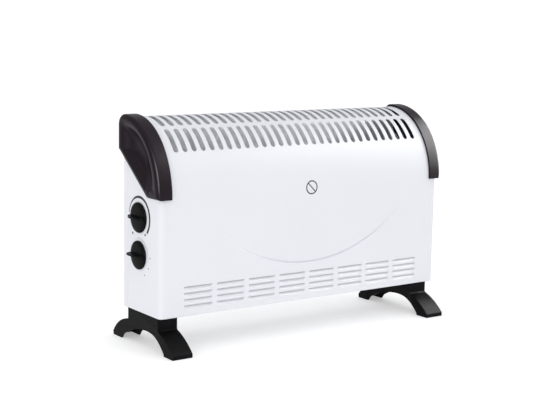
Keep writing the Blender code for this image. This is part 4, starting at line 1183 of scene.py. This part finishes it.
def screws():
    for number in (1, 2, 3, 4):
        screw(f"foot_screw_{number}", "Z", -1, 4.5, 3.0, 1.9)
        screw(f"rear_screw_{number}", "Y", 1, 3.5, 2.0, 1.6)
    screw("cap_screw_left", "X", LEFT, 3.2, 2.0, 1.6, BLACK_ZINC)
    screw("cap_screw_right", "X", RIGHT, 3.2, 2.0, 1.6, BLACK_ZINC)


# ---------------------------------------------------------------- knobs

def knob(name, body, tail_h):
    """Shallow domed dial with a grip fin along Y; tail_h is the fin's height at its rear end."""
    low, high = case_box(name)
    radius = (high.z - low.z) / 2
    z = (high.z + low.z) / 2
    y = (high.y + low.y) / 2
    back = high.x
    reach = back - low.x
    profile = [(radius * 0.5, 0), (radius - 0.5, 0), (radius, 0.5)]
    profile += [(radius - 1.0 * (1 - math.cos(math.radians(a))),
                 2.0 + 1.0 * math.sin(math.radians(a)))
                for a in (0, 22, 45, 68, 90)]
    profile += [(radius - 1.8, 3.02), (radius - 2.1, 3.25)]
    dome = radius - 2.4
    profile += [(dome * math.cos(math.radians(a)), 3.3 + 1.5 * math.sin(math.radians(a)))
                for a in (0, 12, 25, 38, 52, 66, 78)]
    skin = Skin()
    turned(skin, [(r, back - h) for r, h in profile], "X", (y, z), 72)
    half = 2.3
    tip = reach - 0.5
    front = radius * 0.97
    side_view = rounded([(-front, 1.8, 0), (front, 1.8, 0), (front, tail_h, 1.6),
                         (radius * 0.75, tail_h + 3, 5), (radius * 0.35, tip, 6),
                         (-radius * 0.35, tip, 6), (-radius * 0.75, tip - 2.5, 6),
                         (-front, tip - 6.5, 2.0)], 6)
    fin = Skin()
    loops = []
    for share, drop in ((-1.0, 1.3), (-0.97, 0.7), (-0.86, 0.28), (-0.6, 0.04), (0.6, 0.04),
                        (0.86, 0.28), (0.97, 0.7), (1.0, 1.3)):
        loop = []
        for v, h in side_view:
            pull = max(0.0, (h - 1.8) / (tip - 1.8))
            width = half * (1.1 - 0.5 * pull)
            trim = 1 - drop * 0.8 / front
            loop.append((back - (h - drop * pull), y + v * trim, z + share * width))
        loops.append(loop)
    for a, b in zip(loops, loops[1:]):
        fin.ring(a, b)
    fin.face(loops[0])
    fin.face(loops[-1])
    return shaped(name + "_moulding", skin.bm, "black_plastic", [("UNION", fin.bm)], body=body,
                  replaces=(name,), bevel=0.35, bevel_angle=42.0, sharp=36.0)


# ---------------------------------------------------------------- printing on the case

PRINT_T = 0.06


def print_strip(skin, path, width_at, where):
    """A flat printed line along a path of (u, v), as a thin closed body."""
    rows = []
    last = len(path) - 1
    for i, (u, v) in enumerate(path):
        ahead = Vector(path[min(i + 1, last)]) - Vector(path[max(i - 1, 0)])
        normal = Vector((-ahead.y, ahead.x)).normalized() * width_at(i / last) / 2
        rows.append([where(u - normal.x, v - normal.y, PRINT_T),
                     where(u + normal.x, v + normal.y, PRINT_T),
                     where(u + normal.x, v + normal.y, -0.02),
                     where(u - normal.x, v - normal.y, -0.02)])
    for a, b in zip(rows, rows[1:]):
        skin.ring(a, b)
    skin.face(rows[0])
    skin.face(rows[-1])


def print_ring(skin, centre, outer, inner, where, count=64):
    """A printed ring, or a disc when inner is 0."""
    loops = []
    for radius, out in ((outer, -0.02), (outer, PRINT_T), (inner, PRINT_T), (inner, -0.02)):
        if radius > 0:
            loops.append([where(u, v, out) for u, v in arc(centre, radius, 0, 360, count)[:-1]])
    for a, b in zip(loops, loops[1:]):
        skin.ring(a, b)
    if inner > 0:
        skin.ring(loops[-1], loops[0])
    else:
        skin.face(loops[0])
        skin.face(loops[-1])


def on_front(x, z, out):
    """A point standing out from the front panel, which curves back above the spring line."""
    if z <= SPRING_Z:
        return (x, -HALF_D - crease_rise(x, z) - out, z)
    a = math.asin((z - SPRING_Z) / CROWN_B)
    return (x, CROWN_Y - CROWN_A * math.cos(a) - out, z)


def front_sign():
    """Plain ring with a bar across it."""
    centre = (6.0, 256.6)
    outer, line = 12.2, 2.1
    skin = Skin()
    print_ring(skin, centre, outer, outer - line, on_front)
    ring = piece("front_sign_ring", skin.bm, "", material=INK)
    reach = (outer - line * 0.6) * math.sqrt(0.5)
    bar = Skin()
    path = [(lerp(centre[0] - reach, centre[0] + reach, i / 8),
             lerp(centre[1] + reach, centre[1] - reach, i / 8)) for i in range(9)]
    print_strip(bar, path, lambda s: 1.9, lambda x, z, out: on_front(x, z, out * 1.4))
    piece("front_sign_bar", bar.bm, "", material=INK)
    return ring


def dial_print():
    """Thermostat: a tapering arc and two dots. Selector: three ticks, and a faint grey arc that is
    the knob's painted contact shadow.
    """
    def on_side(y, z, out):
        return (-HALF_W - out, y, z)

    low, high = case_box("thermostat_shaft")
    upper = ((low.y + high.y) / 2, (low.z + high.z) / 2)
    low, high = case_box("selector_shaft")
    lower = ((low.y + high.y) / 2, (low.z + high.z) / 2)
    skin = Skin()
    sweep = arc(upper, 33.9, 8, 222, 90)
    print_strip(skin, sweep, lambda s: lerp(1.6, 4.4, smooth(s * 2.2)), on_side)
    piece("thermostat_scale", skin.bm, "", material=INK)
    for i, (radius, degrees) in enumerate(((36.0, 307.0), (32.6, 233.0))):
        dot = Skin()
        print_ring(dot, arc(upper, radius, degrees, degrees, 1)[0], 2.1, 0, on_side, 20)
        piece(f"thermostat_dot_{i + 1}", dot.bm, "", material=INK)
    for i, degrees in enumerate((180.0, 210.0, 240.0)):
        tick = Skin()
        ends = [arc(lower, radius, degrees, degrees, 1)[0] for radius in (34.0, 35.5, 37.0)]
        print_strip(tick, ends, lambda s: 1.5, on_side)
        piece(f"selector_tick_{i + 1}", tick.bm, "", material=INK)
    # Painted shadow: a faint grey arc round the top and front of the selector knob, where its soft
    # contact shadow falls.
    ring = Skin()
    print_strip(ring, arc(lower, 28.6, 75, 195, 60),
                lambda s: 0.5 + 0.9 * math.sin(math.pi * s), on_side)
    piece("selector_painted_shadow_arc", ring.bm, "", material=PAINTED_KNOB_SHADOW)


# ---------------------------------------------------------------- back and floor of the case

REAR_Y = case_box("rear_panel")[1].y
REAR_CORNER_R = 1.6
REAR_SHOULDER_Z = 328.0
REAR_HEAD_HALF_W = 270.0
REAR_FLANGE_TOP = 315.0
INLET_PITCH_X = 62.0
INLET_PITCH_Z = 10.0
INLET_HALF_W = 25.0
INLET_R = 2.5
BEAD_Z = (180.0, 210.0, 240.0)
BEAD_HALF_LEN = 200.0
BEAD_HALF_W = 6.0
BEAD_RISE = 0.9
BASE_BEND_R = 4.0
BASE_LIFT = 0.2


def inlet_rows(skin, columns, edge, first, count, where):
    """Rows of inlet slots between -edge and edge; gives back the first and last row of points."""
    half = INLET_PITCH_Z / 2
    stations = set()
    for number, centre in enumerate(columns):
        start = -INLET_PITCH_X / 2 if number else -edge - centre
        end = INLET_PITCH_X / 2 if number < len(columns) - 1 else edge - centre
        stations |= {round(centre + s, 4)
                     for s in slot_side_stations(INLET_HALF_W, INLET_R, (start, end))}
        for i in range(count):
            middle = first + i * INLET_PITCH_Z
            slot_cell(skin, lambda l, w, c=centre, m=middle: where(c + l, m + w),
                      INLET_HALF_W, INLET_R, (start, end), half)
    stations = sorted(stations)
    return ([where(x, first - half) for x in stations],
            [where(x, first + (count - 0.5) * INLET_PITCH_Z) for x in stations])


def bead_rise(x, distance):
    """Height of a stiffening bead in the back, which fades out at its ends."""
    return (BEAD_RISE * smooth((BEAD_HALF_LEN - abs(x)) / 12)
            * smooth(1 - abs(distance) / BEAD_HALF_W))


def rear_panel():
    """Back of the case: two blocks of inlet slots, three beads, and a flange round each side."""
    low, high = case_box("rear_panel")
    edge = HALF_W - REAR_CORNER_R
    columns = row_of(6, INLET_PITCH_X)

    def flat(x, z):
        return (x, REAR_Y, z)

    skin = Skin()
    lower = inlet_rows(skin, columns, edge, 100.0, 5, flat)
    upper = inlet_rows(skin, columns, edge, 280.0, 4, flat)
    plain = [p[0] for p in lower[0]]
    skin.strip([flat(x, low.z) for x in plain], [flat(x, 80.0) for x in plain])
    skin.strip([flat(x, 80.0) for x in plain], lower[0])
    ends = [BEAD_HALF_LEN - i * 2.5 for i in range(6)]
    stations = sorted({s * x for s in (LEFT, RIGHT) for x in [edge, 240.0] + ends}
                      | {float(x) for x in range(-160, 161, 40)})
    rows = []
    for z in BEAD_Z:
        for i in range(-4, 5):
            offset = BEAD_HALF_W * i / 4
            rows.append([(x, REAR_Y + bead_rise(x, offset), z + offset) for x in stations])
    skin.zip(lower[1], rows[0])
    for a, b in zip(rows, rows[1:]):
        skin.strip(a, b)
    skin.zip(rows[-1], upper[0])
    shoulder = [flat(x, REAR_SHOULDER_Z) for x in plain]
    skin.strip(upper[1], shoulder)
    skin.strip(shoulder, [flat(x * REAR_HEAD_HALF_W / edge, high.z) for x in plain])
    for side in (LEFT, RIGHT):
        heights = sorted({key[2] for key in skin.known if abs(key[0] - side * edge) < 0.01})
        columns = [[(side * x, y, z) for z in heights]
                   for x, y in arc((edge, REAR_Y - REAR_CORNER_R), REAR_CORNER_R, 90, 0, 5)]
        fall = REAR_Y - REAR_CORNER_R
        columns.append([(side * HALF_W, lerp(low.y, fall, (z - REAR_FLANGE_TOP)
                                            / (REAR_SHOULDER_Z - REAR_FLANGE_TOP))
                         if z > REAR_FLANGE_TOP else low.y, z) for z in heights])
        for a, b in zip(columns, columns[1:]):
            skin.strip(a, b)
    bmesh.ops.recalc_face_normals(skin.bm, faces=skin.bm.faces)
    face_outwards(skin.bm, lambda c: c.y > REAR_Y - 1, Vector((0, 1, 0)))
    return piece("rear_panel_skin", skin.bm, "white_enamel", ("rear_panel",), normals=False,
                 sheet=SHEET, bevel=0.2, bevel_angle=58.0, sharp=30.0)


def base_plate():
    """Tray under the case with rounded bends and an air grille."""
    low, high = case_box("base_plate")
    floor_z = low.z + BASE_LIFT
    skin = Skin()
    front, back = inlet_rows(skin, row_of(7, INLET_PITCH_X), high.x, -35.0, 8,
                             lambda x, y: (x, y, floor_z))
    stations = [p[0] for p in front]
    for flange_y, edge_row, inward in ((low.y, front, 1), (high.y, back, -1)):
        bend = arc((flange_y + inward * BASE_BEND_R, floor_z + BASE_BEND_R), BASE_BEND_R,
                   180 if inward > 0 else 0, 270 if inward > 0 else -90, 6)
        rows = [[(x, y, z) for x in stations] for y, z in [(flange_y, high.z)] + bend]
        for a, b in zip(rows, rows[1:]):
            skin.strip(a, b)
        skin.strip(rows[-1], edge_row)
    bmesh.ops.recalc_face_normals(skin.bm, faces=skin.bm.faces)
    face_outwards(skin.bm, lambda c: c.z < floor_z + 0.1, Vector((0, 0, -1)))
    return piece("base_plate_tray", skin.bm, "galvanised", ("base_plate",), normals=False,
                 sheet=SHEET, bevel=0.2, bevel_angle=58.0, sharp=30.0)


def hollow(skin, profile, axis, centre, count):
    """Add a turned ring: profile is a closed list of (radius, position along the axis)."""
    loops = []
    for radius, w in profile:
        loops.append([along(axis, u, v, w) for u, v in arc(centre, radius, 0, 360, count)[:-1]])
    for a, b in zip(loops, loops[1:] + loops[:1]):
        skin.ring(a, b)


def cord_gland():
    """Snap-in gland: flange on the back, and a nose with relief grooves."""
    low, high = case_box("cord_gland")
    centre = ((low.x + high.x) / 2, (low.z + high.z) / 2)
    radius = (high.x - low.x) / 2
    bore = 3.6
    neck = REAR_Y + 0.3
    profile = [(bore, low.y), (6.6, low.y), (7.0, low.y + 0.6),
               (7.0, neck - 1.9), (5.4, neck - 1.8),
               (5.4, neck), (radius - 0.5, neck), (radius, neck + 0.5), (radius, neck + 2.4)]
    profile += [(radius - 1.2 * (1 - math.cos(math.radians(a))),
                 neck + 2.4 + 1.2 * math.sin(math.radians(a)))
                for a in (30, 60, 90)]
    nose = high.y - 0.6
    start = neck + 3.7
    for i in range(3):
        w = lerp(start, nose, i / 3)
        outer = lerp(radius - 1.6, 6.2, i / 3)
        profile += [(outer, w), (outer - 0.1, w + 0.9),
                    (outer - 0.8, w + 1.1), (outer - 0.8, w + 1.5)]
    profile += [(5.9, nose), (5.4, high.y), (bore + 0.5, high.y), (bore, high.y - 0.5)]
    skin = Skin()
    hollow(skin, profile, "Y", centre, 40)
    return piece("cord_gland_moulding", skin.bm, "black_plastic", ("cord_gland",), sharp=34.0)


# ---------------------------------------------------------------- heater and fan

def round_path(points, radius, steps=6):
    """An open path in a plane with its inner corners rounded."""
    corners = [(*points[0], 0)] + [(*p, radius) for p in points[1:-1]] + [(*points[-1], 0)]
    return rounded(corners, steps)


def heating_element(number):
    """Coiled resistance wire that runs along the boards and back."""
    low, high = case_box(f"heating_element_{number}")
    y = (low.y + high.y) / 2
    outside = (high.y - low.y) / 2
    wire = 0.42
    coil = outside - wire - 0.1
    pitch = 2.3
    run_low, run_high = low.z + outside, high.z - outside
    turn_x = high.x - outside
    path = round_path([(low.x + 1.0, run_low), (turn_x, run_low), (turn_x, run_high),
                       (low.x + 1.0, run_high)], (run_high - run_low) / 2 - 0.01, 12)
    marks = [0.0]
    for a, b in zip(path, path[1:]):
        marks.append(marks[-1] + math.dist(a, b))
    per_turn = 8
    count = int(marks[-1] / pitch) * per_turn
    spine = []
    place = 0
    for i in range(count + 1):
        here = marks[-1] * i / count
        while marks[place + 1] < here - 1e-9:
            place += 1
        share = (here - marks[place]) / (marks[place + 1] - marks[place])
        a, b = Vector(path[place]), Vector(path[place + 1])
        middle = a.lerp(b, share)
        ahead = (b - a).normalized()
        turn = 2 * math.pi * i / per_turn
        side = Vector((-ahead.y, ahead.x)) * math.cos(turn) * coil
        spine.append(Vector((middle.x + side.x, y + coil * math.sin(turn), middle.y + side.y)))
    skin = Skin()
    loops = []
    for i, point in enumerate(spine):
        ahead = (spine[min(i + 1, count)] - spine[max(i - 1, 0)]).normalized()
        across = ahead.cross(Vector((0.3, 0.9, 0.2))).normalized()
        up = ahead.cross(across)
        loops.append([tuple(point + across * u + up * v)
                      for u, v in arc((0, 0), wire, 0, 360, 5)[:-1]])
    for a, b in zip(loops, loops[1:]):
        skin.ring(a, b)
    skin.face(loops[0])
    skin.face(loops[-1])
    return piece(f"heating_element_{number}_coil", skin.bm, "resistance_wire",
                 (f"heating_element_{number}",), sharp=80.0)


def impeller():
    """Hub with five curved, twisted blades."""
    low, high = case_box("fan_impeller")
    shaft_low, shaft_high = case_box("fan_shaft")
    centre = ((shaft_low.x + shaft_high.x) / 2, (shaft_low.y + shaft_high.y) / 2)
    hub_r, bore, tip_r = 13.0, 2.9, 42.5
    profile = [(bore, low.z), (hub_r - 0.6, low.z), (hub_r, low.z + 0.6), (hub_r, high.z - 4)]
    profile += [(hub_r - 4 * (1 - math.cos(math.radians(a))),
                 high.z - 4 + 4 * math.sin(math.radians(a)))
                for a in (18, 36, 54, 72, 90)]
    profile += [(bore, high.z)]
    skin = Skin()
    hollow(skin, profile, "Z", centre, 48)
    tools = []
    blades, spans, chords, half_t = 5, 9, 8, 0.7
    for blade in range(blades):
        grid = []
        for i in range(spans + 1):
            radius = lerp(hub_r - 2.0, tip_r, i / spans)
            sweep = math.radians(10) * (i / spans) ** 2
            width = math.radians(lerp(44, 52, i / spans))
            row = []
            for j in range(chords + 1):
                along_chord = j / chords
                angle = 2 * math.pi * blade / blades + sweep + width * (along_chord - 0.5)
                rise = lerp(low.z + 2.0, high.z - 3.0,
                            along_chord + 0.18 * math.sin(math.pi * along_chord))
                round_tip = 1.0 - 0.05 * (2 * along_chord - 1) ** 4 * (i / spans)
                row.append((centre[0] + radius * round_tip * math.cos(angle),
                            centre[1] + radius * round_tip * math.sin(angle),
                            min(rise, high.z - 1.2)))
            grid.append(row)
        sheet = Skin()
        top = [[(x, y, z + half_t) for x, y, z in row] for row in grid]
        under = [[(x, y, z - half_t) for x, y, z in row] for row in grid]
        for a, b in zip(top, top[1:]):
            sheet.strip(a, b)
        for a, b in zip(under, under[1:]):
            sheet.strip(a, b)
        sheet.strip(top[0], under[0])
        sheet.strip(top[-1], under[-1])
        sheet.strip([row[0] for row in top], [row[0] for row in under])
        sheet.strip([row[-1] for row in top], [row[-1] for row in under])
        tools.append(("UNION", sheet.bm))
    return shaped("fan_impeller_moulding", skin.bm, "black_plastic", tools, body="fan_rotor",
                  replaces=("fan_impeller",), sharp=34.0)


def finish_cad_nodes():
    """Give every CAD node that still shows its procedural material."""
    for node_name, obj in frame["nodes"].items():
        for entry in obj.material_slots:
            slot = entry.material.name.split(".")[0]
            entry.material = (LAMINATED if node_name in ("motor_core", "motor_yoke")
                              else MATERIALS[slot])


# ---------------------------------------------------------------- camera, lights, floor

def camera():
    """Placed to see the object as in the reference view, for an image of 545 by 400."""
    image_w = 545.0
    focal_px = 1254.2
    azimuth = math.radians(-35.4785)
    pitch = math.radians(8.6256)
    roll = math.radians(1.0578)
    position = Vector((-1293.4, -1767.6, 558.4)) + CASE_ORIGIN
    back = Vector((math.sin(azimuth) * math.cos(pitch), -math.cos(azimuth) * math.cos(pitch),
                   math.sin(pitch)))
    right = (-back).cross(Vector((0, 0, 1))).normalized()
    up = back.cross(right)
    right, up = (right * math.cos(roll) + up * math.sin(roll),
                 up * math.cos(roll) - right * math.sin(roll))
    data = bpy.data.cameras.new("camera")
    data.sensor_width = 36.0
    data.lens = focal_px * data.sensor_width / image_w
    obj = bpy.data.objects.new("camera", data)
    bpy.context.scene.collection.objects.link(obj)
    turn = Matrix((right, up, back)).transposed().to_4x4()
    obj.matrix_world = Matrix.Translation(position * MM) @ turn
    bpy.context.scene.camera = obj


def softbox(name, place, aim, size, power, diffuse=True):
    """A rectangular light; without diffuse it only shows as a reflection."""
    data = bpy.data.lights.new(name, "AREA")
    data.shape = "RECTANGLE"
    data.size, data.size_y = size
    data.energy = power
    obj = bpy.data.objects.new(name, data)
    bpy.context.scene.collection.objects.link(obj)
    direction = Vector(aim) - Vector(place)
    obj.matrix_world = (Matrix.Translation(place)
                        @ direction.to_track_quat("-Z", "Y").to_matrix().to_4x4())
    obj.visible_diffuse = diffuse


def overhead():
    """A very soft light from above that is even over the whole floor."""
    data = bpy.data.lights.new("overhead", "SUN")
    data.angle = math.radians(110)
    data.energy = 1.15
    obj = bpy.data.objects.new("overhead", data)
    bpy.context.scene.collection.objects.link(obj)
    obj.rotation_euler = (math.radians(24), math.radians(-12), 0)


def world():
    """White seen directly, softer as a light, so that dark plastics stay dark."""
    made = bpy.data.worlds.new("studio")
    bpy.context.scene.world = made
    made.use_nodes = True
    tree = made.node_tree
    background = tree.nodes["Background"]
    rays = tree.nodes.new("ShaderNodeLightPath")
    strength = tree.nodes.new("ShaderNodeMix")
    strength.inputs["A"].default_value = 0.56
    strength.inputs["B"].default_value = 1.05
    tree.links.new(rays.outputs["Is Camera Ray"], strength.inputs["Factor"])
    tree.links.new(strength.outputs["Result"], background.inputs["Strength"])
    background.inputs["Color"].default_value = (0.985, 0.99, 1.0, 1.0)


def floor():
    """A flat floor that reaches past the camera's horizon, just under the feet."""
    skin = Skin()
    half = 30000.0
    drop = -0.2
    steps = 6
    edges = [lerp(-half, half, i / steps) for i in range(steps + 1)]
    for y0, y1 in zip(edges, edges[1:]):
        skin.strip([(x, y0, drop) for x in edges], [(x, y1, drop) for x in edges])
    obj = new_object("floor", skin.bm, studio_floor("studio_floor"))


def studio():
    bpy.context.scene.view_settings.view_transform = "Standard"
    camera()
    world()
    floor()
    overhead()
    softbox("left_light", (-2.6, -1.0, 1.3), (0, 0, 0.25), (0.8, 1.6), 8)
    softbox("right_light", (2.75, -0.9, 1.55), (0.1, 0, 0.2), (2.6, 2.4), 420, diffuse=False)
    softbox("edge_light", (-2.3, -1.7, 1.1), (-0.3, 0, 0.3), (1.8, 1.6), 200, diffuse=False)


studio()
front_panel()
for side in (LEFT, RIGHT):
    end_cap(side)
    foot(side)
screws()
knob("thermostat_knob", "thermostat_dial", 7.8)
knob("selector_knob", "selector_dial", 10.8)
front_sign()
dial_print()
rear_panel()
base_plate()
cord_gland()
for number in (1, 2):
    heating_element(number)
impeller()
finish_cad_nodes()
